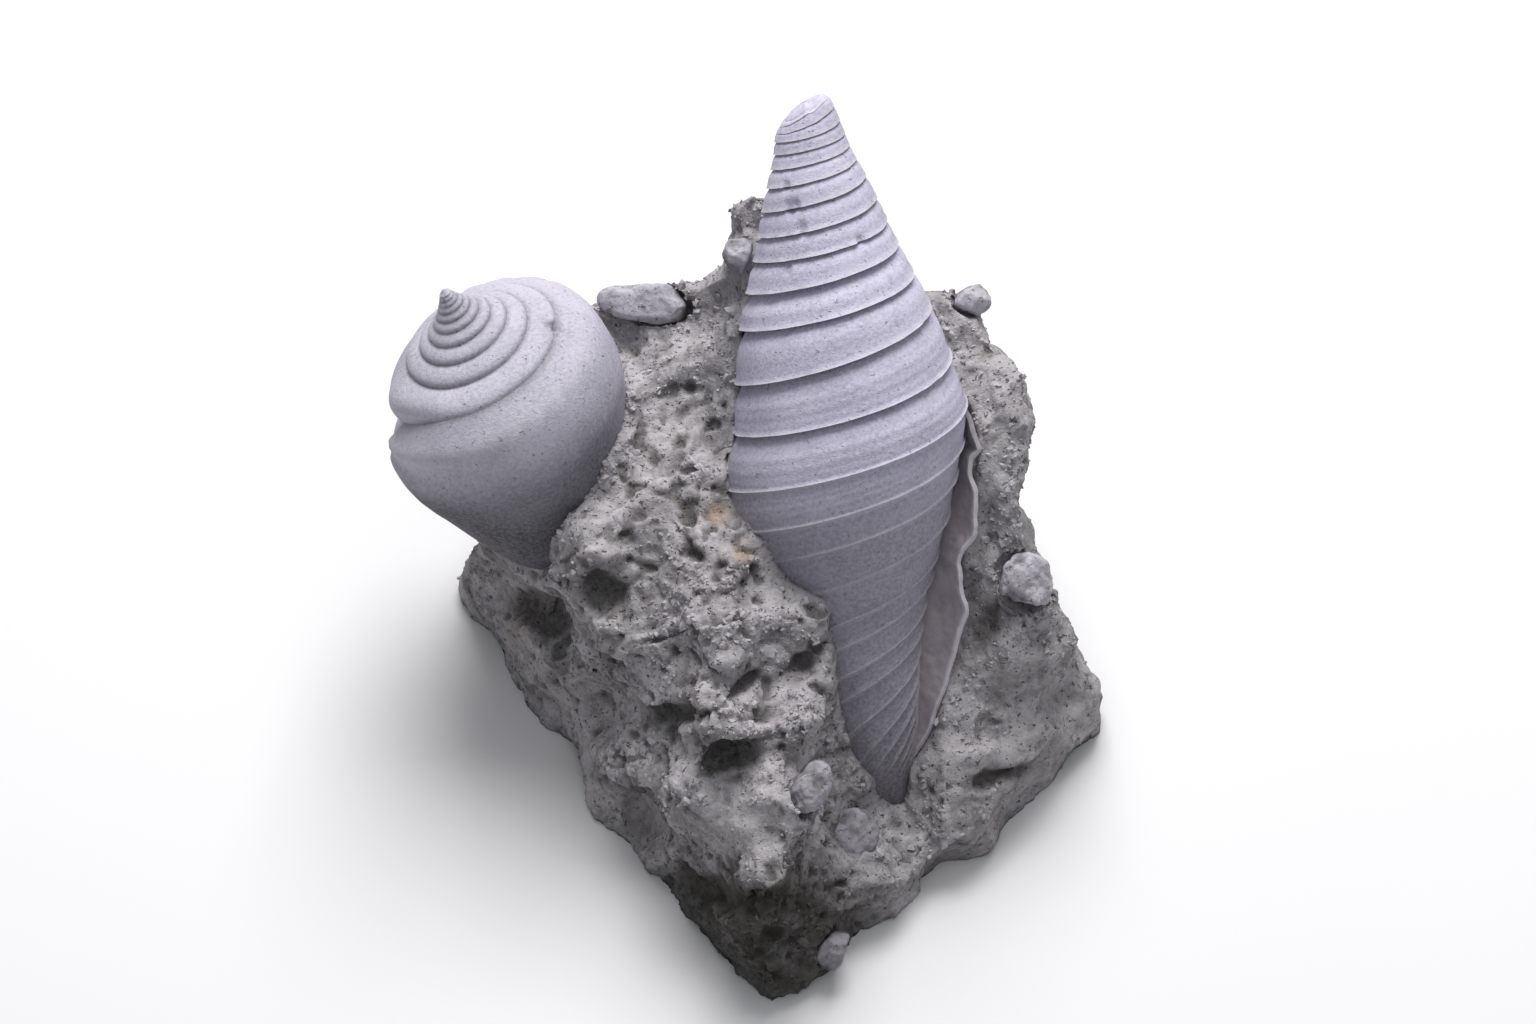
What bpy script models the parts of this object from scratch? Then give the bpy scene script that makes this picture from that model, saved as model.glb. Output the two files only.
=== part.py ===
"""A loose block of shelly limestone with two fossil sea snails fixed in it.

The block stands on its flat underside.  The face that carries the shells leans back, and
most places are given on that face, in millimetres: across to the right, up the slope, and
out of the face, all from the block's near lower corner.  The large ribbed spindle shell
lies up the face, and the small moon snail shell sits on the block's left shoulder.
"""

import math

import bmesh
import bpy
from mathutils import Matrix, Vector, noise

MM = 0.001
GAP = 0.3  # clear space between two neighbouring solids, mm
MERGE = 0.002  # mesh points this near become one, mm
FRONT_TURN = 0.25  # turns are counted from a shell's right limb, and this is its front

# How the block stands
FACE_LEAN = math.radians(35.0)  # the carrying face, from the horizontal
NEAR_CORNER = (3.44, -45.43)  # the block's near lower corner from the origin, mm
UP_SLOPE = Vector((0.0, math.cos(FACE_LEAN), math.sin(FACE_LEAN)))
OUT_OF_FACE = Vector((0.0, -math.sin(FACE_LEAN), math.cos(FACE_LEAN)))

# The limestone block: footprint on the ground and outline seen square to the face, mm
FOOTPRINT = [
    (0, -3.5), (8.5, 2), (11.5, 10), (19.5, 14), (23.5, 20), (29.5, 23), (40.5, 34), (48, 43.5),
    (49, 49.5), (46.5, 65), (40, 77.5), (31.5, 86), (6.5, 89), (-22, 88), (-40, 84), (-47.5, 72),
    (-41.5, 56.5), (-38.5, 50.5), (-29, 38.5), (-24.5, 28.5), (-16.5, 18.5), (-10.5, 9.5),
]
FACE_OUTLINE = [
    (0, -6), (-12, 2), (-20, 10), (-26, 18), (-32, 22), (-36, 30), (-40, 34), (-43, 42),
    (-44, 50), (-48, 53), (-48, 60), (-42, 63), (-40.5, 80), (-34, 96), (-24, 98),
    (-23.5, 100), (-14, 101), (-9.5, 101), (-7, 103), (-5.5, 108), (-5, 112), (-2, 114.5),
    (5, 116), (14, 108), (21, 98.5), (26, 99.5), (30, 99), (29.5, 92), (34.5, 90), (36, 86),
    (34, 77.5), (35, 72), (36.5, 64), (39, 58), (41, 53), (44.5, 46.5), (50, 41), (50, 30),
    (40, 18), (30, 12), (20, 6), (12, -4),
]
# Spot heights of the face: across, up the slope, out of the face, mm
FRONT_LUMP = [
    (0, 17, 23), (-11, 18, 2), (-18.5, 23, -14), (-10, 28, 13), (2, 28, 21), (-20, 35, 3),
    (-27, 38, -12), (-7, 40, 19), (5, 38, 20), (8.4, 46, 14), (8.8, 40, 12), (9.8, 35, 7),
    (-7, 52, 20), (4, 53, 16), (7.3, 54, 13), (-22, 52, 10), (-33, 50, -12), (-5, 60, 16),
    (-25, 62, 11), (5.5, 60, 9), (0, 64, 11),
]
LEFT_SHOULDER = [
    (-37, 62, -12), (-42, 58, -28), (-36, 74, -4), (-10, 72, 9), (-20, 75, 6), (-15, 85, 2),
    (-12, 97, -2), (-25, 97, -3), (-30, 88, -3), (-5, 80, 4), (-5, 95, 7), (-5, 104, 9),
    (-4, 112, 9), (-6, 70, 8),
]
SPINDLE_BED = [
    (10, 80, 1), (12, 60, -4), (14, 45, -8), (17, 32, -7), (18, 25, -8), (5, 98, 4),
    (12, 24, -3), (11, 31, 0), (5, 10, 6), (8, 16, 4), (10, 108, 2), (20, 45, -7), (22, 56, -5),
    (24, 66, -3), (24, 46, -5), (8.5, 58, 2), (11, 53, 0), (11.5, 48, -3), (12, 42, -6),
    (13, 37, -8),
]
RIGHT_SHOULDER = [
    (27, 95, 4), (30, 99, 2), (35, 87, 6), (30, 75, 6), (36, 70, 7), (31, 60, 3), (40, 60, 3),
    (30, 48, 0), (38, 48, -1), (45, 42, -16), (26, 35, -4), (33, 36, -6), (27, 68, 3),
    (23, 84, 4), (26, 79, 3),
]
HEIGHT_FALLOFF = 3.4  # how sharply the face follows its nearest spot height
BLOCK_VOXEL = 1.7  # mm
BLOCK_TRIANGLES = 2700

# Spindle shell: its lower end on the face and its long axis
SPINDLE_END = (18.9, 25.8, -9.0)
SPINDLE_LENGTH = 103.9
SPINDLE_AXIS = (-14.6, 99.0, 28.0)  # towards the apex
SPINDLE_PROFILE = [
    (0, 2.0), (0.7, 3.1), (4, 4.6), (7.2, 5.4), (10.9, 6.8), (14.5, 8.1), (20, 9.8),
    (23.3, 11), (29, 13.1), (35, 14.8), (41.7, 16), (48.5, 16.9), (52.5, 16.6), (56, 15.9),
    (60, 14.8), (67, 12.2), (74, 9.9), (82, 8.1), (90.5, 6.5), (96.5, 5), (101, 3.1),
    (103.9, 1.3),
]
# The lower half bends to the left of the axis: depth, distance
SPINDLE_BEND = [(44, 0), (51, 1.5), (56, 2.3), (64, 2.6), (80, 3.2), (90, 3.1), (97, 2.9), (103.9, 1.5)]
SPINDLE_LOST_TIP = 8.3  # the tip that is broken off would have reached this much higher, mm
SPINDLE_FIRST_RIB = 0.9  # the first rib's depth below the blunt apex at the right limb, mm
SPINDLE_RIB_GROWTH = 0.27  # log of the ribs' growth in one turn
SPINDLE_RIBS_PER_TURN = 2
SPINDLE_COLUMNS = 24  # mesh points in a turn
SPINDLE_RIB_STEP = 0.045  # a rib's ledge as a share of the radius
SPINDLE_STEP_FADE_IN = 4.0  # the ledges reach their full height at this depth, mm
SPINDLE_STEP_FADE_OUT = (50.0, 66.0)  # and die away between these depths, mm

# The thin outer lip that stands beside the slit-like mouth
LIP_TOP, LIP_BOTTOM = 46.5, 96.0  # mm below the apex
LIP_THICKNESS = 1.1
LIP_STAND_OFF = 4.4  # how far its edge stands off the body at most, mm
LIP_BACK, LIP_EDGE = math.radians(78.0), math.radians(-4.0)  # round the axis

# Moon snail shell: its nipple-like apex on the face and its axis
SNAIL_APEX = (-46.41, 100.14, 16.0)
SNAIL_AXIS = (-0.368, 0.664, 0.651)  # towards the apex
SNAIL_LENGTH = 44.0
# The spiral seam: turns from the front of the last seam, its radius and depth below the apex
SNAIL_SEAM_RADIUS = (2.600, 0.3515, 0.0058)  # log of mm, by the turn's powers
SNAIL_SEAM_DEPTH = (2.607, 0.1660, -0.0019)
SNAIL_SEAM_DROP = (0.05, 7.4, 172.0)  # the last turn sinks: from which turn, mm by its powers
SNAIL_SEAM_DROP_TURNS = 0.2  # and over how much of a turn
SNAIL_SHOULDER_HEIGHT = 5.0  # the least distance from the seam down to the widest place, mm
SNAIL_WIDEST = (18.35, 22.6)  # the last whorl's largest radius and its depth at the front
SNAIL_WIDEST_GROWTH = (0.21, 9.0)  # log growth of that radius, and the mm it sinks, in one turn
SNAIL_SHOULDER = [  # share of the way down from the seam, share of the way out
    (0, 0), (0.2, 0.36), (0.34, 0.62), (0.42, 0.735), (0.55, 0.83), (0.75, 0.935), (1, 1),
]
SNAIL_BASE = [(0, 1), (3, 0.998), (7, 0.95), (10, 0.895), (15.5, 0.8), (22, 0.66)]
SNAIL_MOUTH = 0.58  # where the last whorl ends, in turns from the right limb
SNAIL_MOUTH_EDGE = 0.1  # how far round the last whorl takes to close on the one before, turns
SNAIL_WHORL_LINES = (0.0, 0.3, 0.72)  # mesh lines down a whorl, as shares of it
SNAIL_COLUMNS = 27  # mesh points in a turn
SNAIL_WHORLS = 7  # modelled above the last seam; the earlier ones are too small
SNAIL_BODY_LINES = (0.0, 2.0, 4.2, 6.6, 9.4, 13.0, 17.5, 22.5, 28.0, 33.0)  # mm below that seam
SNAIL_WHORL_SWELL = (0.0, 0.11, 0.10)  # how far each stands out, as a share of the whorl's height

# Loose bits of shell and stone cemented in the block: centre on the face, half sizes, turn
FRAGMENTS = {
    "shell_plate_fragment": ((-18, 98, -2.2), (6.8, 2.9, 1.9), (10, 0, -4)),
    "stone_chip_right": ((35.9, 58.3, 2.4), (3.7, 4.4, 3.0), (0, 12, 14)),
    "shell_tooth_upper": ((5.0, 29.4, 16.8), (2.2, 4.4, 2.6), (0, 0, -28)),
    "shell_tooth_lower": ((11.6, 22.6, -0.8), (3.1, 3.4, 2.9), (0, 0, 24)),
    "shell_chip_near_corner": ((8.4, 6.2, 3.0), (2.0, 3.0, 1.9), (0, 0, -26)),
    "shell_knob_far_right": ((28.2, 98.2, 2.2), (2.4, 2.1, 2.1), (0, 0, 20)),
    "shell_flake_by_spire": ((-4.9, 104.4, 9.6), (1.9, 2.9, 1.5), (0, 0, -12)),
}


def mm(point):
    """A point in millimetres as a vector in metres."""
    return Vector(point) * MM


def on_face(across, up, out):
    """The place of a point that is given on the carrying face."""
    spot = Vector((across, 0.0, 0.0)) + UP_SLOPE * up + OUT_OF_FACE * out
    return mm(spot + Vector((*NEAR_CORNER, 0.0)))


def face_direction(across, up, out):
    """The unit direction of a direction that is given on the carrying face."""
    return (Vector((across, 0.0, 0.0)) + UP_SLOPE * up + OUT_OF_FACE * out).normalized()


def along(points, at):
    """The value at a place along a straight-run line of (place, value) points."""
    if at <= points[0][0]:
        return points[0][1]
    for (x0, y0), (x1, y1) in zip(points, points[1:]):
        if at <= x1:
            return y0 + (y1 - y0) * (at - x0) / (x1 - x0)
    return points[-1][1]


def stone_material(name, colour, roughness):
    material = bpy.data.materials.new(name)
    material.use_nodes = True
    shader = material.node_tree.nodes["Principled BSDF"]
    shader.inputs["Base Color"].default_value = (*colour, 1.0)
    shader.inputs["Roughness"].default_value = roughness
    shader.inputs["Metallic"].default_value = 0.0
    return material


def new_collection(name):
    collection = bpy.data.collections.new(name)
    bpy.context.scene.collection.children.link(collection)
    return collection


def new_object(name, mesh_data, collection, material=None):
    part = bpy.data.objects.new(name, mesh_data)
    collection.objects.link(part)
    if material:
        mesh_data.materials.append(material)
    return part


def as_cutter(part):
    part.hide_render = True
    part.display_type = "WIRE"
    return part


def evaluated_mesh(part):
    """A new mesh of the part as its modifiers leave it."""
    bpy.context.view_layer.update()
    graph = bpy.context.evaluated_depsgraph_get()
    return bpy.data.meshes.new_from_object(part.evaluated_get(graph))


def apply_modifiers(part):
    shaped = evaluated_mesh(part)
    part.modifiers.clear()
    part.data = shaped


def boolean(part, other, operation):
    cut = part.modifiers.new(f"{operation} {other.name}".lower(), "BOOLEAN")
    cut.operation = operation
    cut.solver = "EXACT"
    cut.object = other


def prism(name, outline, direction, start, end, place, collection):
    """A solid that carries an outline along a direction, from start to end, mm."""
    shape = bmesh.new()
    ring = [shape.verts.new(place(x, y) + direction * start * MM) for x, y in outline]
    shape.faces.new(ring)
    pushed = bmesh.ops.extrude_face_region(shape, geom=list(shape.faces))
    corners = [v for v in pushed["geom"] if isinstance(v, bmesh.types.BMVert)]
    bmesh.ops.translate(shape, verts=corners, vec=direction * (end - start) * MM)
    bmesh.ops.recalc_face_normals(shape, faces=shape.faces)
    mesh_data = bpy.data.meshes.new(name)
    shape.to_mesh(mesh_data)
    shape.free()
    return new_object(name, mesh_data, collection)


def face_height(across, up, spots):
    """The face's height out of its plane, drawn from the nearest spot heights."""
    total = weights = 0.0
    for spot_across, spot_up, out in spots:
        distance = math.hypot(across - spot_across, up - spot_up)
        weight = 1.0 / (distance + 0.8) ** HEIGHT_FALLOFF
        total += weight * out
        weights += weight
    return total / weights


def face_solid(collection):
    """All that lies under the carrying face: a grid raised to the spot heights, made deep."""
    spots = FRONT_LUMP + LEFT_SHOULDER + SPINDLE_BED + RIGHT_SHOULDER
    half, middle, depth = 75.0, (0.0, 55.0), 90.0  # mm
    squares = 75  # 2 mm each
    shape = bmesh.new()
    bmesh.ops.create_grid(shape, x_segments=squares, y_segments=squares, size=half)
    pushed = bmesh.ops.extrude_face_region(shape, geom=list(shape.faces))
    bottom = {v for v in pushed["geom"] if isinstance(v, bmesh.types.BMVert)}
    for vertex in shape.verts:
        across, up = vertex.co.x + middle[0], vertex.co.y + middle[1]
        out = -depth if vertex in bottom else face_height(across, up, spots)
        vertex.co = on_face(across, up, out)
    bmesh.ops.recalc_face_normals(shape, faces=shape.faces)
    mesh_data = bpy.data.meshes.new("face_solid")
    shape.to_mesh(mesh_data)
    shape.free()
    return new_object("face_solid", mesh_data, collection)


def roughen(part, octaves, seed):
    """Moves each point along its normal by noise; octaves are (grain size, height), mm."""
    mesh_data = part.data
    normals = [vertex.normal.copy() for vertex in mesh_data.vertices]
    for vertex, normal in zip(mesh_data.vertices, normals):
        shift = 0.0
        for size, height in octaves:
            spot = vertex.co / (size * MM) + Vector((seed, 2.0 * seed, -seed))
            shift += height * noise.noise(spot)
        vertex.co += normal * shift * MM


def limestone_block(parts, cutters, material):
    """The block: under the face, inside its outline and footprint, weathered, flat below."""
    block = face_solid(parts)
    block.name = "limestone_matrix"
    block.data.materials.append(material)

    def on_ground(x, y):
        return mm((x + NEAR_CORNER[0], y + NEAR_CORNER[1], 0.0))

    def in_face_plane(across, up):
        return on_face(across, up, 0.0)

    up_right = Vector((0.0, 0.0, 1.0))
    footprint = prism("footprint", FOOTPRINT, up_right, -4.0, 110.0, on_ground, cutters)
    outline = prism("outline", FACE_OUTLINE, OUT_OF_FACE, -95.0, 60.0, in_face_plane, cutters)
    boolean(block, as_cutter(footprint), "INTERSECT")
    boolean(block, as_cutter(outline), "INTERSECT")
    remesh = block.modifiers.new("even skin", "REMESH")
    remesh.mode = "VOXEL"
    remesh.voxel_size = BLOCK_VOXEL * MM
    rounding = block.modifiers.new("worn edges", "SMOOTH")
    rounding.factor, rounding.iterations = 0.5, 3
    apply_modifiers(block)
    roughen(block, [(17.0, 2.4), (8.0, 1.6), (4.5, 1.0)], seed=3.7)
    thin = block.modifiers.new("fewer faces", "DECIMATE")
    bpy.context.view_layer.update()
    triangles = sum(len(face.vertices) - 2 for face in block.data.polygons)
    thin.ratio = BLOCK_TRIANGLES / triangles
    apply_modifiers(block)
    below = prism("ground", [(-90, -90), (90, -90), (90, 150), (-90, 150)],
                  up_right, -30.0, 0.0, on_ground, cutters)
    boolean(block, as_cutter(below), "DIFFERENCE")
    return block


def axis_frame(apex, towards_apex):
    """The shell's frame: x to its right limb, y away, z up its axis, at the apex."""
    z = towards_apex
    x = (Vector((1.0, 0.0, 0.0)) - z * z.x).normalized()
    y = z.cross(x)
    frame = Matrix((x, y, z)).transposed().to_4x4()
    frame.translation = apex
    return frame


def coiled_shell(name, frame, length, place, lines, columns, collection,
                 skin=0.0, start=0.0, bend=((0.0, 0.0),)):
    """A closed shell whose mesh lines follow the spiral growth.

    place(line, turn) is how far below the apex a spiral line runs after part of a turn, and
    the shell's radius there, in mm.  The turn begins at start, and bend moves the axis to
    the left by depth.  A skin makes it larger all round.
    """
    shape = bmesh.new()
    rings = []
    for line in lines:
        ring = []
        for column in range(columns + 1):
            turn = start + column / columns
            depth, radius = place(line, turn)
            aside = along(bend, depth)
            depth = min(max(depth, -skin), length + skin)
            angle = -2.0 * math.pi * turn
            reach = radius + skin
            spot = (reach * math.cos(angle) - aside, reach * math.sin(angle), -depth)
            ring.append(shape.verts.new(frame @ mm(spot)))
        rings.append(ring)
    for upper, lower in zip(rings, rings[1:]):
        for column in range(columns):
            shape.faces.new((upper[column], upper[column + 1], lower[column + 1], lower[column]))
    bmesh.ops.remove_doubles(shape, verts=shape.verts, dist=MERGE * MM)
    bmesh.ops.dissolve_degenerate(shape, edges=shape.edges, dist=MERGE * MM)
    open_edges = [edge for edge in shape.edges if edge.is_boundary]
    bmesh.ops.holes_fill(shape, edges=open_edges)
    bmesh.ops.recalc_face_normals(shape, faces=shape.faces)
    bmesh.ops.triangulate(shape, faces=shape.faces)
    mesh_data = bpy.data.meshes.new(name)
    shape.to_mesh(mesh_data)
    shape.free()
    return new_object(name, mesh_data, collection)


def spindle_frame():
    towards_apex = face_direction(*SPINDLE_AXIS)
    apex = on_face(*SPINDLE_END) + towards_apex * SPINDLE_LENGTH * MM
    return axis_frame(apex, towards_apex)


def spindle_body(name, skin, collection):
    """The ribbed spindle; skin makes it larger all round, for its socket in the stone."""
    per_turn = SPINDLE_RIBS_PER_TURN
    rise = SPINDLE_RIB_GROWTH / per_turn
    ribs = int(math.log(1.0 + SPINDLE_LENGTH / SPINDLE_LOST_TIP) / rise) + 2
    edges = ((-0.1, 1.0), (0.1, 0.0))  # a rib's keel and the groove under it
    fade_in, (fade_from, fade_to) = SPINDLE_STEP_FADE_IN, SPINDLE_STEP_FADE_OUT

    def place(line, turn):
        """(depth, radius) of a line: keels and grooves by turns."""
        rib_shift, keel = edges[line % 2]
        rib = line // 2 + rib_shift + turn * per_turn
        whole = (SPINDLE_LOST_TIP + SPINDLE_FIRST_RIB) * math.exp(rise * rib)
        depth = min(max(whole - SPINDLE_LOST_TIP, 0.0), SPINDLE_LENGTH)
        fade = min(1.0, depth / fade_in, max(0.0, (fade_to - depth) / (fade_to - fade_from)))
        step = SPINDLE_RIB_STEP * fade * (1.0 - keel)
        beyond = skin if depth == SPINDLE_LENGTH else -skin if depth == 0.0 else 0.0
        return depth + beyond, along(SPINDLE_PROFILE, depth) * (1.0 - step)

    return coiled_shell(name, spindle_frame(), SPINDLE_LENGTH, place,
                        range(-4 * per_turn, 2 * ribs), 24, collection, skin=skin,
                        bend=SPINDLE_BEND)


def lip_offset(depth):
    """How far the lip's edge stands off the shell's body."""
    rise = math.sin(math.pi * (depth - LIP_TOP + 3.0) / (LIP_BOTTOM - LIP_TOP + 9.0))
    return LIP_STAND_OFF * max(0.0, rise) ** 0.6


def spindle_lip(name, skin, collection):
    """The outer lip: a thin curved wall that comes round from behind the shell."""
    frame = spindle_frame()
    rows, columns = 16, 7
    shape = bmesh.new()
    bmesh.ops.create_grid(shape, x_segments=columns, y_segments=rows, size=0.5)
    half = LIP_THICKNESS / 2.0 + skin
    inner = {}
    for vertex in list(shape.verts):
        inner[vertex] = (vertex.co.x + 0.5, vertex.co.y + 0.5)
    pushed = bmesh.ops.extrude_face_region(shape, geom=list(shape.faces))
    outer = {v for v in pushed["geom"] if isinstance(v, bmesh.types.BMVert)}
    for vertex in shape.verts:
        share, down = vertex.co.x + 0.5, vertex.co.y + 0.5
        depth = LIP_TOP - skin + (LIP_BOTTOM - LIP_TOP + 2.0 * skin) * down
        angle = LIP_BACK + (LIP_EDGE - skin / 16.0 - LIP_BACK) * share
        stand_off = (lip_offset(depth) + 0.6) * share ** 0.8 - 0.9
        side = half if vertex in outer else -half
        radius = along(SPINDLE_PROFILE, depth) + stand_off + side
        aside = along(SPINDLE_BEND, depth)
        spot = (radius * math.cos(angle) - aside, radius * math.sin(angle), -depth)
        vertex.co = frame @ mm(spot)
    bmesh.ops.recalc_face_normals(shape, faces=shape.faces)
    bmesh.ops.triangulate(shape, faces=shape.faces)
    mesh_data = bpy.data.meshes.new(name)
    shape.to_mesh(mesh_data)
    shape.free()
    return new_object(name, mesh_data, collection)


def spindle_shell(parts, cutters, material):
    shell = spindle_body("spindle_shell", 0.0, parts)
    shell.data.materials.append(material)
    boolean(shell, as_cutter(spindle_lip("spindle_lip", 0.0, cutters)), "UNION")
    return shell


def spiral_log(powers, turn):
    """exp of a sum of the turn's powers."""
    return math.exp(sum(factor * turn ** power for power, factor in enumerate(powers)))


def snail_seam(turn):
    """The snail's seam at a turn: (radius, depth below the apex), mm."""
    start, linear, square = SNAIL_SEAM_DROP
    past = min(max(turn - start, 0.0), SNAIL_SEAM_DROP_TURNS)
    drop = linear * past + square * past ** 2
    return spiral_log(SNAIL_SEAM_RADIUS, turn), spiral_log(SNAIL_SEAM_DEPTH, turn) + drop


def snail_body_radius(depth, turn):
    """The last whorl's radius at a depth below its seam, mm."""
    seam_radius, seam_depth = snail_seam(turn)
    growth, sink = SNAIL_WIDEST_GROWTH
    largest = SNAIL_WIDEST[0] * math.exp(growth * turn)
    largest_depth = SNAIL_WIDEST[1] + sink * turn
    shoulder_depth = max(largest_depth, seam_depth + SNAIL_SHOULDER_HEIGHT)
    if depth > shoulder_depth:
        return largest * along(SNAIL_BASE, depth - largest_depth)
    widest = largest * along(SNAIL_BASE, shoulder_depth - largest_depth)
    share = max(depth - seam_depth, 0.0) / (shoulder_depth - seam_depth)
    return seam_radius + (widest - seam_radius) * along(SNAIL_SHOULDER, share)


def snail_shell(name, skin, collection, material=None):
    """The globose shell: stepped low spire, rounded shoulder, body narrowing below."""
    frame = axis_frame(on_face(*SNAIL_APEX), face_direction(*SNAIL_AXIS))
    steps = len(SNAIL_WHORL_LINES)
    first = -SNAIL_WHORLS * steps

    def place(line, turn):
        """(depth, radius) of a line: whorl lines above the last seam, body lines below it."""
        front = turn - FRONT_TURN
        closing = min(1.0, (SNAIL_MOUTH - turn) / SNAIL_MOUTH_EDGE)
        last_seam = front - 1.0 + closing
        if line >= 0:
            depth = snail_seam(last_seam)[1] + SNAIL_BODY_LINES[line]
            return depth, snail_body_radius(depth, last_seam)
        whorl, step = divmod(line, steps)
        share, swell = SNAIL_WHORL_LINES[step], SNAIL_WHORL_SWELL[step]
        upper, lower = front + whorl, front + whorl + 1.0
        if whorl == -1:
            lower = last_seam
        (radius, depth), (low_radius, low_depth) = snail_seam(upper), snail_seam(lower)
        run_out, run_down = low_radius - radius, low_depth - depth
        return (depth + run_down * share - run_out * swell,
                radius + run_out * share + run_down * swell)

    lines = range(first, len(SNAIL_BODY_LINES))
    shell = coiled_shell(name, frame, SNAIL_LENGTH, place, lines, SNAIL_COLUMNS, collection,
                         skin=skin, start=SNAIL_MOUTH - 1.0)
    if material:
        shell.data.materials.append(material)
    return shell


def fragment(name, skin, collection, material=None):
    """A small worn bit: a ball drawn to its half sizes, roughened and turned in place."""
    centre, halves, turn = FRAGMENTS[name.removesuffix("_socket")]
    shape = bmesh.new()
    bmesh.ops.create_icosphere(shape, subdivisions=2, radius=1.0)
    seed = sum(ord(letter) for letter in name.removesuffix("_socket")) % 17
    spin = Matrix.Identity(3)
    for angle, axis in zip(turn, "XYZ"):
        spin = Matrix.Rotation(math.radians(angle), 3, axis) @ spin
    for vertex in shape.verts:
        direction = vertex.co.normalized()
        boxy = max(abs(direction.x), abs(direction.y), abs(direction.z)) ** -0.45
        bump = 1.0 + 0.16 * noise.noise(direction * 1.7 + Vector((seed, 0.0, 0.0)))
        local = Vector([c * (h * boxy * bump + skin) for c, h in zip(direction, halves)])
        vertex.co = on_face(*(spin @ local + Vector(centre)))
    bmesh.ops.recalc_face_normals(shape, faces=shape.faces)
    mesh_data = bpy.data.meshes.new(name)
    shape.to_mesh(mesh_data)
    shape.free()
    return new_object(name, mesh_data, collection, material)


def main():
    for old in list(bpy.data.objects):
        bpy.data.objects.remove(old, do_unlink=True)
    parts = new_collection("fossil_shell_block")
    cutters = new_collection("cutters")
    stone = stone_material("limestone", (0.36, 0.34, 0.35), 0.95)
    pale_shell = stone_material("fossil_shell", (0.52, 0.50, 0.58), 0.7)
    pale_chip = stone_material("shell_fragments", (0.45, 0.43, 0.49), 0.75)

    block = limestone_block(parts, cutters, stone)
    spindle_shell(parts, cutters, pale_shell)
    snail_shell("moon_snail_shell", 0.0, parts, pale_shell)
    sockets = [
        spindle_body("spindle_socket", GAP, cutters),
        spindle_lip("lip_socket", GAP, cutters),
        snail_shell("snail_socket", GAP, cutters),
    ]
    for name in FRAGMENTS:
        fragment(name, 0.0, parts, pale_chip)
        sockets.append(fragment(f"{name}_socket", GAP, cutters))
    for socket in sockets:
        boolean(block, as_cutter(socket), "DIFFERENCE")


main()
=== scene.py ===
"""The finished look of a loose limestone block that carries two fossil sea snails.

The block, the ribbed spindle shell, the small globose moon snail shell and the loose bits
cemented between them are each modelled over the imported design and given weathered,
chalky finishes.  Lengths are in millimetres until a mesh is written, which is in metres.
"""

import logging
import math
from dataclasses import dataclass, field
from enum import Enum

import bpy
import numpy as np
from mathutils import Euler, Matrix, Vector
from mathutils.bvhtree import BVHTree


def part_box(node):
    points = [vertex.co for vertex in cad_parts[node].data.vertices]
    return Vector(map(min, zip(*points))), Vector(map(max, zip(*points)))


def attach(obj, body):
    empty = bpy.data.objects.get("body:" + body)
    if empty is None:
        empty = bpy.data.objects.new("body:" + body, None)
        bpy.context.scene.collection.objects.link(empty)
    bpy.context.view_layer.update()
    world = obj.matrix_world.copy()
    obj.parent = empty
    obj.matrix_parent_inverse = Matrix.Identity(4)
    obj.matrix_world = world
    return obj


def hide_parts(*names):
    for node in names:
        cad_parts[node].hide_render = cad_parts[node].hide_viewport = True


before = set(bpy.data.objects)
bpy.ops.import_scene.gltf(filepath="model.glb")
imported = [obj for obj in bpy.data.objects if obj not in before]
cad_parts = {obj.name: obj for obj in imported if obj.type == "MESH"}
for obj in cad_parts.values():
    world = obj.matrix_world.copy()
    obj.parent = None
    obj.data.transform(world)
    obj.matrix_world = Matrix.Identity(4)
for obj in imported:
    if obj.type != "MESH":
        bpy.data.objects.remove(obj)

log = logging.getLogger("shell_block")
MM = 0.001
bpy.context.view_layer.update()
FACE_LEAN = math.radians(35.0)  # the carrying face, from the horizontal
UP_SLOPE = np.array((0.0, math.cos(FACE_LEAN), math.sin(FACE_LEAN)))
OUT_OF_FACE = np.array((0.0, -math.sin(FACE_LEAN), math.cos(FACE_LEAN)))
ACROSS = np.array((1.0, 0.0, 0.0))
CORNER_IN_BLOCK = np.array((46.918, 2.379, 0.0))  # the near corner, from the block's box


class Slot(Enum):
    """The record's material slots."""

    STONE = "limestone"
    SHELL = "fossil_shell"
    BITS = "shell_fragments"


# ---------------------------------------------------------------- numbers in arrays


def smooth_step(values: np.ndarray, low: float = 0.0, high: float = 1.0) -> np.ndarray:
    """Eases from 0 at low to 1 at high.

    Args:
        values: The places to ease.
        low: Where the rise begins.
        high: Where the rise ends.

    Returns:
        An array of shares from 0 to 1.
    """
    share = np.clip((np.asarray(values, float) - low) / (high - low), 0.0, 1.0)
    return share * share * (3.0 - 2.0 * share)


def blend(first: np.ndarray, second: np.ndarray, share: np.ndarray) -> np.ndarray:
    """Mixes two arrays.

    Args:
        first: What a share of 0 gives.
        second: What a share of 1 gives.
        share: How much of the second is taken.

    Returns:
        The mixed array.
    """
    return first + (second - first) * share


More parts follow.
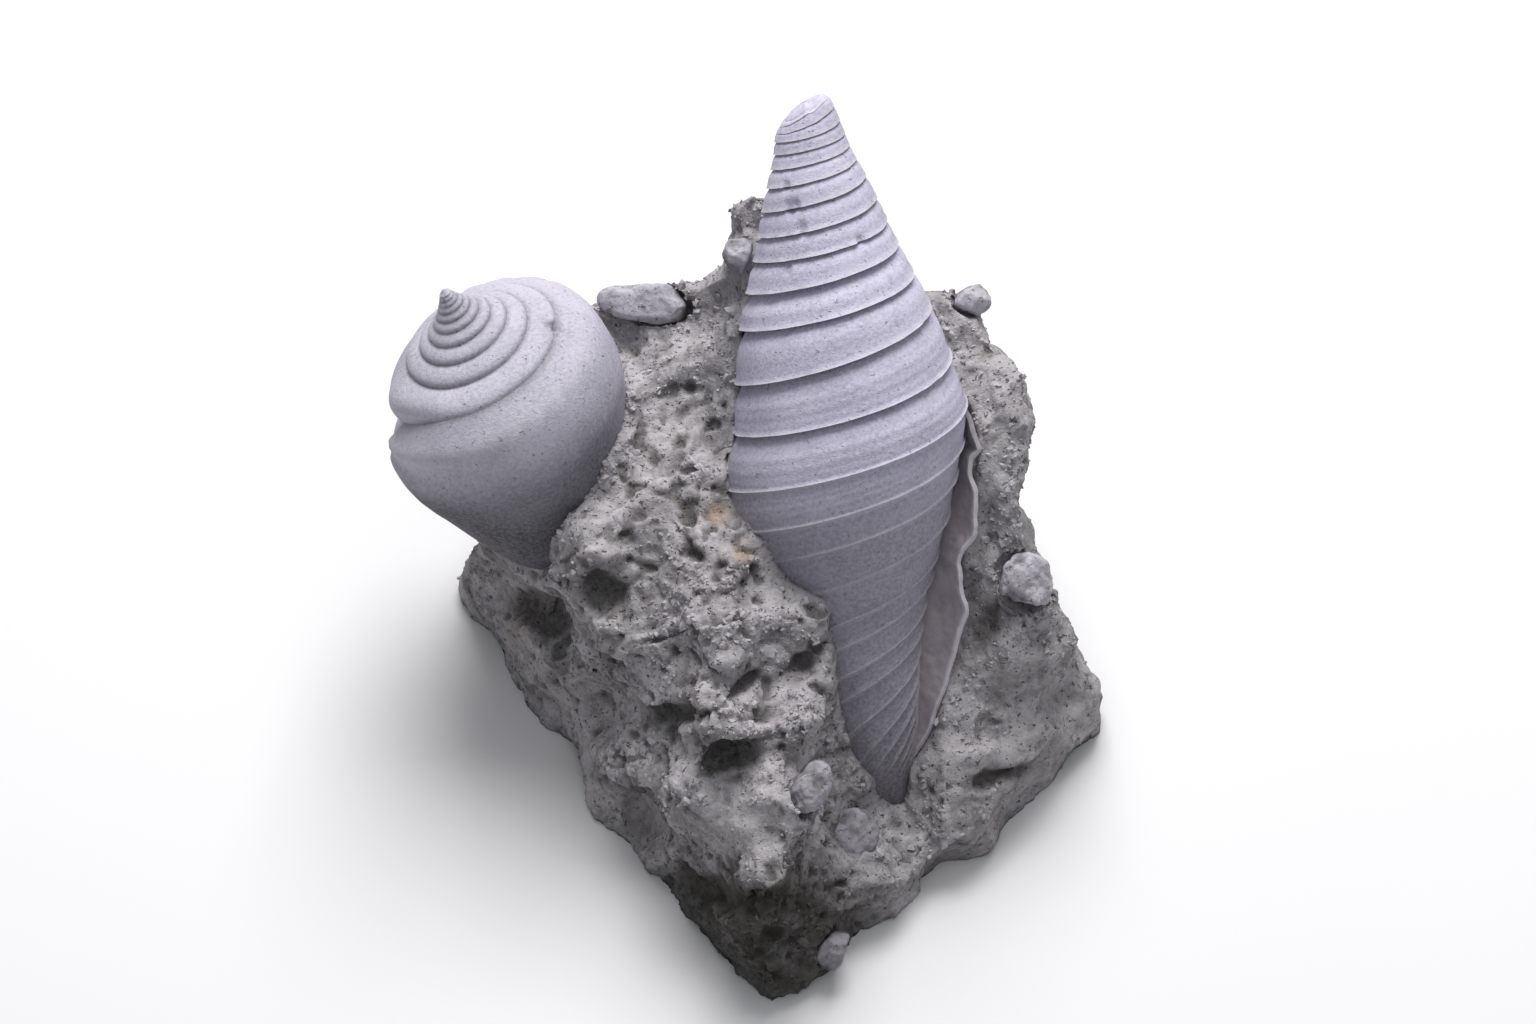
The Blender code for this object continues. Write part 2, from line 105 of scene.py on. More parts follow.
class Curve:
    """A smooth line through (place, value) points that never overshoots them."""

    def __init__(self, points: list[tuple[float, float]]) -> None:
        """Works out the slopes at the points.

        Args:
            points: The places, rising, and the value at each.
        """
        self.x, self.y = np.array(points, float).T
        step = np.diff(self.y) / np.diff(self.x)
        slope = np.empty_like(self.y)
        slope[0], slope[-1] = step[0], step[-1]
        before, after = step[:-1], step[1:]
        level = before * after <= 0.0
        total = np.where(level, 1.0, before + after)
        slope[1:-1] = np.where(level, 0.0, 2.0 * before * after / total)
        self.slope = slope

    def __call__(self, at: np.ndarray) -> np.ndarray:
        """Reads the line.

        Args:
            at: The places to read; past the ends the line runs on straight.

        Returns:
            The values there.
        """
        at = np.asarray(at, float)
        i = np.clip(np.searchsorted(self.x, at) - 1, 0, len(self.x) - 2)
        width = self.x[i + 1] - self.x[i]
        t = np.clip((at - self.x[i]) / width, 0.0, 1.0)
        start = (1.0 + 2.0 * t) * (1.0 - t) ** 2 * self.y[i] + t * (1.0 - t) ** 2 * width * self.slope[i]
        end = t * t * (3.0 - 2.0 * t) * self.y[i + 1] + t * t * (t - 1.0) * width * self.slope[i + 1]
        past = np.minimum(at - self.x[0], 0.0) * self.slope[0]
        beyond = np.maximum(at - self.x[-1], 0.0) * self.slope[-1]
        return start + end + past + beyond


def lattice_values(cells: np.ndarray, seed: int) -> np.ndarray:
    """A repeatable random number for each whole-number cell.

    Args:
        cells: An (n, 3) array of whole numbers.
        seed: Which set of numbers to use.

    Returns:
        Numbers from 0 to 1.
    """
    x, y, z = (cells[:, axis].astype(np.uint64) for axis in range(3))
    mixed = x * np.uint64(73856093) ^ y * np.uint64(19349663) ^ z * np.uint64(83492791)
    mixed = (mixed + np.uint64(seed) * np.uint64(2654435761)) & np.uint64(0xFFFFFFFF)
    for shift, factor in ((15, 0x2C1B3C6D), (12, 0x297A2D39)):
        mixed = ((mixed ^ (mixed >> np.uint64(shift))) * np.uint64(factor)) & np.uint64(0xFFFFFFFF)
    return (mixed ^ (mixed >> np.uint64(15))).astype(float) / 0xFFFFFFFF


def value_noise(points: np.ndarray, size: float, seed: int) -> np.ndarray:
    """Soft random relief from -1 to 1.

    Args:
        points: The (n, 3) places.
        size: The width of one lump, in the points' units.
        seed: Which relief to use.

    Returns:
        The relief at each place.
    """
    scaled = points / size + 1000.0
    cell = np.floor(scaled)
    t = scaled - cell
    t = t * t * t * (t * (t * 6.0 - 15.0) + 10.0)
    total = np.zeros(len(points))
    for corner in np.ndindex(2, 2, 2):
        weight = np.prod(np.where(np.array(corner) == 1, t, 1.0 - t), axis=1)
        total += weight * lattice_values((cell + corner).astype(np.int64), seed)
    return 2.0 * total - 1.0


def layered_noise(points: np.ndarray, size: float, seed: int, layers: int = 3) -> np.ndarray:
    """Value noise in layers, each half as wide and half as high as the one before.

    Args:
        points: The (n, 3) places.
        size: The width of the widest lumps.
        seed: Which relief to use.
        layers: How many layers there are.

    Returns:
        The relief at each place, about -1 to 1.
    """
    total = np.zeros(len(points))
    for layer in range(layers):
        total += value_noise(points, size / 2.0**layer, seed + 17 * layer) / 2.0**layer
    return total / (2.0 - 2.0 ** (1 - layers))


def nodule_noise(points: np.ndarray, size: float, seed: int) -> tuple[np.ndarray, np.ndarray]:
    """Rounded lumps that crowd together.

    Args:
        points: The (n, 3) places.
        size: The width of a lump.
        seed: Which lumps to use.

    Returns:
        The distance to the nearest lump's centre, and how much farther the next one is, both
        in lump widths.
    """
    scaled = points / size + 1000.0
    cell = np.floor(scaled)
    nearest = np.full(len(points), 9.0)
    second = np.full(len(points), 9.0)
    for offset in np.ndindex(3, 3, 3):
        home = cell + np.array(offset) - 1.0
        whole = home.astype(np.int64)
        centre = home + np.stack([lattice_values(whole, seed + axis) for axis in range(3)], axis=1)
        distance = np.linalg.norm(scaled - centre, axis=1)
        second = np.minimum(second, np.maximum(nearest, distance))
        nearest = np.minimum(nearest, distance)
    return nearest, second - nearest


# ---------------------------------------------------------------- places and meshes


@dataclass(frozen=True)
class CarryingFace:
    """The leaning face that carries the shells, with its own across, up and out, in mm."""

    origin: np.ndarray

    @classmethod
    def of_block(cls, node: str) -> "CarryingFace":
        """Finds the face from the block's box.

        Args:
            node: The block's CAD node.

        Returns:
            The face, from the block's near lower corner.
        """
        low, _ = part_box(node)
        return cls(np.array(low) / MM + CORNER_IN_BLOCK)

    def place(self, spots: np.ndarray) -> np.ndarray:
        """Places (across, up, out) spots in the frame, in mm."""
        return self.origin + np.asarray(spots, float) @ np.stack((ACROSS, UP_SLOPE, OUT_OF_FACE))

    def read(self, points: np.ndarray) -> np.ndarray:
        """Reads points of the frame, in mm, as (across, up, out)."""
        return (points - self.origin) @ np.stack((ACROSS, UP_SLOPE, OUT_OF_FACE)).T

    def direction(self, along: tuple[float, float, float]) -> np.ndarray:
        """The unit direction in the frame of an (across, up, out) direction."""
        turned = np.asarray(along, float) @ np.stack((ACROSS, UP_SLOPE, OUT_OF_FACE))
        return turned / np.linalg.norm(turned)


@dataclass(frozen=True)
class ShellAxis:
    """A coiled shell's axis: x to its right limb, y away, z towards the apex, in mm."""

    apex: np.ndarray
    x: np.ndarray
    y: np.ndarray
    z: np.ndarray

    @classmethod
    def at(cls, apex: np.ndarray, towards_apex: np.ndarray) -> "ShellAxis":
        """Sets the axis up.

        Args:
            apex: The apex, in mm.
            towards_apex: The unit direction up the axis.

        Returns:
            The axis with its three directions.
        """
        x = ACROSS - towards_apex * towards_apex[0]
        x = x / np.linalg.norm(x)
        return cls(apex, x, np.cross(towards_apex, x), towards_apex)

    def place(self, right: np.ndarray, away: np.ndarray, depth: np.ndarray) -> np.ndarray:
        """Places shell coordinates in the frame.

        Args:
            right: Distance to the right limb's side, mm.
            away: Distance to the far side, mm.
            depth: Distance below the apex, mm.

        Returns:
            The (n, 3) points in mm.
        """
        return (self.apex + np.outer(right, self.x) + np.outer(away, self.y)
                - np.outer(depth, self.z))


def deselect_all() -> None:
    """Leaves no object selected, so that an operator acts on its own piece only."""
    if bpy.context.object and bpy.context.object.mode != "OBJECT":
        bpy.ops.object.mode_set(mode="OBJECT")
    bpy.ops.object.select_all(action="DESELECT")


def make_active(piece: bpy.types.Object) -> None:
    """Selects one piece alone and makes it the active one.

    Args:
        piece: The piece.
    """
    deselect_all()
    piece.select_set(True)
    bpy.context.view_layer.objects.active = piece


def points_of(piece: bpy.types.Object) -> np.ndarray:
    """Reads a mesh's points.

    Args:
        piece: The piece.

    Returns:
        The points as an (n, 3) array in mm.
    """
    points = np.empty(len(piece.data.vertices) * 3)
    piece.data.vertices.foreach_get("co", points)
    return points.reshape(-1, 3) / MM


def normals_of(piece: bpy.types.Object) -> np.ndarray:
    """Reads a mesh's point normals.

    Args:
        piece: The piece.

    Returns:
        The unit normals as an (n, 3) array.
    """
    normals = np.empty(len(piece.data.vertices) * 3, np.float32)
    piece.data.vertex_normals.foreach_get("vector", normals)
    return normals.reshape(-1, 3).astype(float)


def set_points(piece: bpy.types.Object, points: np.ndarray) -> None:
    """Moves a mesh's points to an (n, 3) array in mm."""
    piece.data.vertices.foreach_set("co", (points * MM).ravel())
    piece.data.update()


def set_attribute(piece: bpy.types.Object, name: str, values: np.ndarray) -> None:
    """Stores one number for each point, for the finishes to read."""
    layer = piece.data.attributes.get(name) or piece.data.attributes.new(name, "FLOAT", "POINT")
    layer.data.foreach_set("value", np.asarray(values, np.float32))


def apply_modifier(piece: bpy.types.Object, kind: str, **settings: object) -> None:
    """Adds a modifier and applies it.

    Args:
        piece: The piece to change.
        kind: The modifier's type.
        settings: The modifier's settings.
    """
    make_active(piece)
    modifier = piece.modifiers.new(kind.lower(), kind)
    for key, value in settings.items():
        setattr(modifier, key, value)
    bpy.ops.object.modifier_apply(modifier=modifier.name)


def close_shell(piece: bpy.types.Object, merge: float) -> None:
    """Merges the points that meet, closes what is open and turns the faces outwards.

    Args:
        piece: The piece to close.
        merge: How near points are to be merged, mm.
    """
    make_active(piece)
    bpy.ops.object.mode_set(mode="EDIT")
    bpy.ops.mesh.select_all(action="SELECT")
    bpy.ops.mesh.remove_doubles(threshold=merge * MM)
    bpy.ops.mesh.dissolve_degenerate(threshold=merge * MM)
    bpy.ops.mesh.select_all(action="DESELECT")
    bpy.ops.mesh.select_non_manifold(extend=False, use_wire=False, use_multi_face=False,
                                     use_non_contiguous=False, use_verts=False)
    bpy.ops.mesh.fill_holes(sides=0)
    bpy.ops.mesh.select_all(action="SELECT")
    bpy.ops.mesh.normals_make_consistent(inside=False)
    bpy.ops.mesh.quads_convert_to_tris()
    bpy.ops.object.mode_set(mode="OBJECT")


def add_grid(name: str, columns: int, rows: int) -> tuple[bpy.types.Object, np.ndarray, np.ndarray]:
    """A flat grid to be rolled into a shell.

    Args:
        name: The piece's name.
        columns: Faces across.
        rows: Faces down.

    Returns:
        The piece, and each point's share across and share down.
    """
    deselect_all()
    bpy.ops.mesh.primitive_grid_add(x_subdivisions=columns, y_subdivisions=rows, size=1.0)
    piece = bpy.context.object
    piece.name = piece.data.name = name
    flat = points_of(piece) * MM
    return piece, np.clip(flat[:, 0] + 0.5, 0, 1), np.clip(flat[:, 1] + 0.5, 0, 1)


def copy_of_node(node: str, name: str) -> bpy.types.Object:
    """Copies a CAD node's mesh and merges its loose triangles.

    Args:
        node: The CAD node.
        name: The copy's name.

    Returns:
        The copy, with no parent and none of the node's own marks.
    """
    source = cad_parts[node]
    piece = source.copy()
    piece.data = source.data.copy()
    for key in list(piece.keys()):
        del piece[key]
    piece.parent = None
    piece.name = piece.data.name = name
    bpy.context.scene.collection.objects.link(piece)
    make_active(piece)
    bpy.ops.object.mode_set(mode="EDIT")
    bpy.ops.mesh.select_all(action="SELECT")
    bpy.ops.mesh.remove_doubles(threshold=0.001 * MM)
    bpy.ops.object.mode_set(mode="OBJECT")
    return piece


def finish_piece(piece: bpy.types.Object, slot: Slot, finish: bpy.types.Material,
                 *nodes: str, sharp: float = 180.0) -> bpy.types.Object:
    """Dresses a piece and hands it to the frame.

    Args:
        piece: The finished mesh.
        slot: A material slot; not used.
        finish: The material.
        nodes: The CAD nodes that it stands for.
        sharp: The angle from which an edge stays sharp, degrees.

    Returns:
        The piece.
    """
    piece.data.materials.clear()
    piece.data.materials.append(finish)
    make_active(piece)
    if sharp < 180.0:
        bpy.ops.object.shade_smooth_by_angle(angle=math.radians(sharp))
    else:
        bpy.ops.object.shade_smooth()
    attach(piece, "root")
    if nodes:
        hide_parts(*nodes)
    triangles = sum(len(face.vertices) - 2 for face in piece.data.polygons)
    log.info("%s: %d triangles", piece.name, triangles)
    return piece


# ---------------------------------------------------------------- finishes


class Value:
    """A number, vector or colour in a shader, with arithmetic on numbers."""

    def __init__(self, shader: "Shader", socket: object) -> None:
        """Keeps the shader and the socket, or the plain number, that it stands for."""
        self.shader, self.socket = shader, socket

    def _math(self, operation: str, *others: object) -> "Value":
        """Adds one Math node on this value and the others."""
        return self.shader.math(operation, self, *others)

    def __add__(self, other: object) -> "Value":
        """Adds."""
        return self._math("ADD", other)

    __radd__ = __add__

    def __mul__(self, other: object) -> "Value":
        """Multiplies."""
        return self._math("MULTIPLY", other)

    __rmul__ = __mul__

    def __sub__(self, other: object) -> "Value":
        """Takes the other away."""
        return self._math("SUBTRACT", other)

    def __rsub__(self, other: object) -> "Value":
        """Is taken away from the other."""
        return self.shader.math("SUBTRACT", other, self)

    def clamp(self) -> "Value":
        """Keeps the number from 0 to 1."""
        return self._math("ADD", 0.0).use(use_clamp=True)

    def use(self, **settings: object) -> "Value":
        """Changes settings of the node behind this value.

        Args:
            settings: The settings' names and values.

        Returns:
            This value.
        """
        for key, value in settings.items():
            setattr(self.socket.node, key, value)
        return self


class Shader:
    """A new material whose nodes are added one at a time."""

    def __init__(self, name: str) -> None:
        """Starts the material with a Principled shader.

        Args:
            name: The material's name.
        """
        self.material = bpy.data.materials.new(name)
        self.material.use_nodes = True
        self.tree = self.material.node_tree
        self.surface = self.tree.nodes["Principled BSDF"]
        self.coordinates = self.tree.nodes.new("ShaderNodeTexCoord")

    def plug(self, socket: bpy.types.NodeSocket, value: object) -> None:
        """Links or sets one input.

        Args:
            socket: The input.
            value: A value to link, or a plain number, vector or colour to set.
        """
        if isinstance(value, Value):
            self.tree.links.new(value.socket, socket)
        elif isinstance(value, tuple) and len(value) == 3 and socket.type == "RGBA":
            socket.default_value = (*value, 1.0)
        else:
            socket.default_value = value

    def node(self, kind: str, settings: dict[str, object], inputs: dict[object, object],
             output: int | str = 0) -> Value:
        """Adds any node.

        Args:
            kind: The node's type.
            settings: Its settings, set first.
            inputs: Its sockets' values or links, by name or place.
            output: The output to read.

        Returns:
            The output as a value.
        """
        made = self.tree.nodes.new(kind)
        for key, value in settings.items():
            setattr(made, key, value)
        for key, value in inputs.items():
            self.plug(made.inputs[key], value)
        return Value(self, made.outputs[output])

    def math(self, operation: str, *values: object) -> Value:
        """Adds a Math node."""
        return self.node("ShaderNodeMath", {"operation": operation}, dict(enumerate(values)))

    def object_place(self) -> Value:
        """The Object coordinates."""
        return Value(self, self.coordinates.outputs["Object"])

    def attribute(self, name: str) -> Value:
        """A number stored on the mesh."""
        return self.node("ShaderNodeAttribute", {"attribute_name": name}, {}, "Fac")

    def noise(self, size: float, detail: float = 3.0, roughness: float = 0.55,
              place: Value | None = None) -> Value:
        """Cloudy noise.

        Args:
            size: The width of its lumps, mm.
            detail: How many finer layers it has.
            roughness: How strong they are.
            place: Where it is read, the Object coordinates if left out.

        Returns:
            A number about 0.5.
        """
        inputs = {"Vector": place or self.object_place(), "Scale": 1.0 / (size * MM),
                  "Detail": detail, "Roughness": roughness}
        return self.node("ShaderNodeTexNoise", {"noise_dimensions": "3D"}, inputs, "Fac")

    def between(self, value: Value, low: float, high: float) -> Value:
        """Spreads a number smoothly and holds it from 0 to 1.

        Args:
            value: The number.
            low: What becomes 0.
            high: What becomes 1.

        Returns:
            The spread number.
        """
        settings = {"clamp": True, "interpolation_type": "SMOOTHSTEP"}
        inputs = {"Value": value, "From Min": low, "From Max": high}
        return self.node("ShaderNodeMapRange", settings, inputs)

    def mix(self, first: object, second: object, share: object) -> Value:
        """Mixes two colours; the numbers are the colour sockets' places on the Mix node."""
        return self.node("ShaderNodeMix", {"data_type": "RGBA"}, {0: share, 6: first, 7: second}, 2)

    def finish(self, colour: Value, roughness: Value, height: Value, depth: float,
               **constants: float) -> bpy.types.Material:
        """Wires the surface.

        Args:
            colour: The base colour.
            roughness: The roughness.
            height: The fine relief, 0 to 1.
            depth: How deep a relief of 1 is, mm.
            constants: Other sockets' plain numbers, spaces as underscores.

        Returns:
            The material.
        """
        self.plug(self.surface.inputs["Base Color"], colour)
        self.plug(self.surface.inputs["Roughness"], roughness)
        relief = {"Height": height, "Distance": depth * MM, "Strength": 1.0}
        bump = self.node("ShaderNodeBump", {}, relief, "Normal")
        self.plug(self.surface.inputs["Normal"], bump)
        for key, value in constants.items():
            self.surface.inputs[key.replace("_", " ")].default_value = value
        return self.material


@dataclass(frozen=True)
class ChalkyShell:
    """Weathered fossil shell: chalky, faintly lavender, soiled and with painted shade in its grooves,
    painted shade on its shaded side, and worn keels with a painted highlight.
    """

    name: str
    pale: tuple[float, float, float] = (0.64, 0.62, 0.77)
    shade: tuple[float, float, float] = (0.48, 0.465, 0.59)
    # pale colour for the worn keels, which also paints their highlight
    worn: tuple[float, float, float] = (0.72, 0.67, 0.68)
    # dark colour for soiling in pits and grooves, and for the painted shade
    dust_and_shade: tuple[float, float, float] = (0.12, 0.112, 0.105)

    def make(self) -> bpy.types.Material:
        """Builds the finish, which reads the mesh's keel, groove, strand, strands and grime; keel is wear
        with a painted highlight, groove is soiling with painted shade, and grime is painted shade.

        Returns:
            The material.
        """
        shader = Shader(self.name)
        cloud = shader.noise(9.0, 4.0)
        grain = shader.noise(0.55, 4.0, 0.7)
        fine = shader.noise(0.22, 2.0, 0.6)
        keel = shader.attribute("keel")
        groove = shader.attribute("groove")
        painted_shell_shade = shader.attribute("painted_shell_shade")
        strand = shader.attribute("strand")
        lines = (shader.math("SINE", strand * (2.0 * math.pi)) * 0.5 + 0.5) * shader.attribute("strands")
        colour = shader.mix(self.pale, self.shade, shader.between(cloud * 0.4 + grain * 0.75, 0.46, 0.72))
        pits = shader.between(shader.noise(0.8, 2.0, 0.75), 0.36, 0.27)
        colour = shader.mix(colour, self.dust_and_shade, (pits * 0.5).clamp())
        # the keels are lightened: partly wear, partly a painted highlight where they catch the light
        colour = shader.mix(colour, self.worn, (keel * shader.between(grain, 0.3, 0.6) * 0.75).clamp())
        # the grooves are darkened: partly soiling, partly painted shade under each ledge
        groove_soil_and_shade = (groove * (grain * 0.8 + 0.35)).clamp()
        colour = shader.mix(colour, self.dust_and_shade, groove_soil_and_shade)
        # painted shade: the shell's shaded side is darkened
        colour = shader.mix(colour, self.dust_and_shade, (painted_shell_shade * (grain * 0.7 + 0.5)).clamp())
        height = grain * 0.7 + fine * 0.5 + lines * 0.3 - pits * 0.5
        rough = grain * 0.2 + 0.68
        return shader.finish(colour, rough, height, 0.16, Specular_IOR_Level=0.3)


@dataclass(frozen=True)
class MauveInside:
    """The smooth inner face of the lip, duller and browner than the outside."""

    name: str
    face: tuple[float, float, float] = (0.47, 0.42, 0.46)
    haze: tuple[float, float, float] = (0.36, 0.33, 0.37)
    rim: tuple[float, float, float] = (0.66, 0.63, 0.68)
    # the dark colour for the painted shade
    dust_and_shade: tuple[float, float, float] = (0.19, 0.175, 0.165)

    def make(self) -> bpy.types.Material:
        """Builds the finish, which reads the mesh's keel, as the bright broken rim, and grime, as painted
        shade.

        Returns:
            The material.
        """
        shader = Shader(self.name)
        cloud = shader.noise(4.0, 3.0)
        grain = shader.noise(0.5, 3.0, 0.65)
        keel = shader.attribute("keel")
        painted_shell_shade = shader.attribute("painted_shell_shade")
        colour = shader.mix(self.face, self.haze, shader.between(cloud, 0.35, 0.65))
        colour = shader.mix(colour, self.rim, (keel * (grain * 0.5 + 0.7)).clamp())
        # painted shade: the lip's back and top are darkened
        colour = shader.mix(colour, self.dust_and_shade, painted_shell_shade)
        return shader.finish(colour, grain * 0.2 + 0.55, grain, 0.06, Specular_IOR_Level=0.35)


@dataclass(frozen=True)
class GritLimestone:
    """Shelly limestone: pale grit, dark pores, a few ochre stains, and dark brown soiling and painted shade
    in its hollows and painted shade on its shaded sides.
    """

    name: str
    pale: tuple[float, float, float] = (0.50, 0.48, 0.50)
    mid: tuple[float, float, float] = (0.33, 0.315, 0.33)
    pore: tuple[float, float, float] = (0.075, 0.068, 0.06)
    # the darkest colour, used for the painted shade
    hollow: tuple[float, float, float] = (0.042, 0.039, 0.032)
    ochre: tuple[float, float, float] = (0.44, 0.31, 0.21)
    relief: float = 0.5

    def make(self) -> bpy.types.Material:
        """Builds the finish, which reads the mesh's hollow, stain, damp and smooth; hollow and damp are
        painted shade.

        Returns:
            The material.
        """
        shader = Shader(self.name)
        cloud = shader.noise(7.0, 4.0, 0.6)
        grit = shader.noise(1.15, 4.0, 0.72)
        sand = shader.noise(0.42, 3.0, 0.7)
        pores = shader.between(shader.noise(0.9, 2.0, 0.8), 0.60, 0.72)
        hollow = shader.attribute("hollow")
        stain = shader.attribute("stain")
        painted_stone_shade = shader.attribute("painted_stone_shade")
        smooth = shader.attribute("smooth")
        colour = shader.mix(self.pale, self.mid, shader.between(cloud * 0.5 + grit * 0.5, 0.42, 0.6))
        colour = shader.mix(colour, self.pore, (pores * (1.0 - smooth * 0.5) * 0.85).clamp())
        colour = shader.mix(colour, self.ochre, (stain * (sand * 1.4)).clamp())
        # the hollows are darkened: partly soiling, partly painted shade
        colour = shader.mix(colour, self.hollow, (hollow * (grit * 0.7 + 0.55)).clamp())
        # painted shade on the downward, near and turned-away sides
        colour = shader.mix(colour, self.hollow, (painted_stone_shade * (cloud * 0.6 + 0.6)).clamp())
        height = grit * 0.55 + sand * 0.35 - pores * 0.45 * (1.0 - smooth * 0.4)
        return shader.finish(colour, sand * 0.12 + 0.84, height, self.relief, Specular_IOR_Level=0.2)


@dataclass(frozen=True)
class PaleFloor:
    """A plain pale studio floor."""

    name: str = "studio_floor"
    colour: tuple[float, float, float] = (0.86, 0.86, 0.87)

    def make(self) -> bpy.types.Material:
        """Builds the finish.

        Returns:
            The material.
        """
        shader = Shader(self.name)
        soft = shader.noise(60.0, 2.0)
        colour = shader.mix(self.colour, tuple(c * 0.985 for c in self.colour), soft)
        return shader.finish(colour, soft * 0.05 + 0.75, soft, 0.01, Specular_IOR_Level=0.1)


# ---------------------------------------------------------------- the spindle shell


@dataclass
class Chip:
    """A small bruise on a shell: depth below the apex, turn, radius and cut, mm."""

    depth: float
    turn: float
    radius: float
    cut: float


@dataclass
class SpindleShell:
    """The large ribbed spindle, rolled along its spiral so that each rib is a mesh line."""

    face: CarryingFace
    end: tuple[float, float, float] = (18.9, 25.8, -9.0)
    towards_apex: tuple[float, float, float] = (-14.6, 99.0, 28.0)
    length: float = 103.9
    profile: Curve = field(default_factory=lambda: Curve([
        (-3, 1.2), (0, 2.6), (0.7, 3.2), (4, 4.6), (7.2, 5.4), (10.9, 6.8), (14.5, 8.1), (20, 9.8),
        (23.3, 11), (29, 13.1), (35, 14.8), (41.7, 16), (48.5, 16.9), (52.5, 16.6), (56, 15.9),
        (60, 14.8), (67, 12.2), (74, 9.9), (82, 8.1), (90.5, 6.5), (96.5, 5), (101, 3.1),
        (103.9, 1.3)]))
    bend: Curve = field(default_factory=lambda: Curve([
        (-5, 0), (44, 0), (51, 1.5), (56, 2.3), (64, 2.6), (80, 3.2), (90, 3.1), (97, 2.9),
        (103.9, 1.5)]))
    rib_depths: tuple[float, ...] = (
        0.75, 2.04, 3.48, 5.05, 6.78, 8.82, 11.34, 14.55, 17.96, 21.3, 25.66, 30.74, 38.4, 45.6,
        51.0, 55.4, 61.1, 66.6, 70.0, 74.0, 77.1, 80.6, 83.4, 85.6, 87.7, 89.6, 91.4, 93.0, 94.6, 96.0, 97.5,
        99.0, 100.5, 102.0, 103.6, 105.2)
    slimmer: float = 0.35  # how far the spire is drawn in, in rib heights
    pinch: float = 0.5  # how deep one band is pressed in below the edge above it, mm
    pinched_band: int = 9
    tip_slant: float = 0.42  # the broken tip's slope, down to the left
    dome: float = 1.5  # how deep the blunt tip's rounding reaches, mm
    lost_tip: float = 8.3  # the broken tip reached this much higher, mm
    growth: float = 0.27  # log of the growth in one turn
    ribs_per_turn: int = 2
    last_spire_rib: int = 11  # the suture that runs down to the lip's top
    seam_turn: float = -0.25  # the mesh's seam, on the side that the stone covers
    columns: int = 210
    band_rows: tuple[float, ...] = (0.0, 0.035, 0.085, 0.16, 0.27, 0.41, 0.56, 0.7, 0.82, 0.9, 0.95,
                                    0.982)
    chips: tuple[Chip, ...] = (
        Chip(13.4, 0.33, 1.7, 0.42), Chip(10.6, 0.36, 1.0, 0.25), Chip(16.0, 0.3, 1.1, 0.25),
        Chip(21.6, 0.34, 0.8, 0.3), Chip(25.2, 0.12, 0.7, 0.3), Chip(19.0, 0.16, 0.6, 0.3),
        Chip(44.9, 0.47, 0.9, 0.3), Chip(30.5, 0.14, 0.6, 0.25), Chip(34.5, 0.4, 0.5, 0.2))

    def axis(self) -> ShellAxis:
        """The spindle's axis in the frame."""
        up = self.face.direction(self.towards_apex)
        return ShellAxis.at(self.face.place(self.end) + up * self.length, up)

    def depth_of(self, rib: np.ndarray, turn: np.ndarray) -> np.ndarray:
        """How deep a spiral line runs.

        Args:
            rib: The line's place among the ribs at the right limb.
            turn: The turn from the right limb, towards the lip.

        Returns:
            The depth below the apex, mm.
        """
        ladder = Curve(list(enumerate(self.rib_depths)))
        whole = self.ribs_per_turn
        spire = ladder(rib + whole * turn)
        start = ladder(rib)
        canal = 1.0 + 0.7 * smooth_step(start, 76.0, 90.0)
        trace = (start + self.lost_tip) * np.exp(self.growth * turn * canal) - self.lost_tip
        hidden = smooth_step(turn, 0.6, 0.75) + (1.0 - smooth_step(turn, self.seam_turn, -0.12))
        on_base = smooth_step(rib, self.last_spire_rib, self.last_spire_rib + 2.0)
        return blend(spire, trace, on_base * (1.0 - np.clip(hidden, 0.0, 1.0)))

    def build(self, finish: bpy.types.Material) -> bpy.types.Object:
        """Models and dresses the shell.

        Args:
            finish: The shell's material.

        Returns:
            The piece.
        """
        rows = np.array([rib + share for rib in range(-4, len(self.rib_depths) - 1)
                         for share in self.band_rows])
        piece, across, down = add_grid("ribbed_spindle", self.columns, len(rows) - 1)
        rib = rows[np.rint(down * (len(rows) - 1)).astype(int)]
        turn = self.seam_turn + across
        raw = self.depth_of(rib, turn)
        depth = np.clip(raw, -1.8, self.length)
        radius = self.profile(np.maximum(depth, 0.7))
        angle = -2.0 * math.pi * turn
        around = np.stack([np.cos(angle), np.sin(angle), depth / 12.0], axis=1)

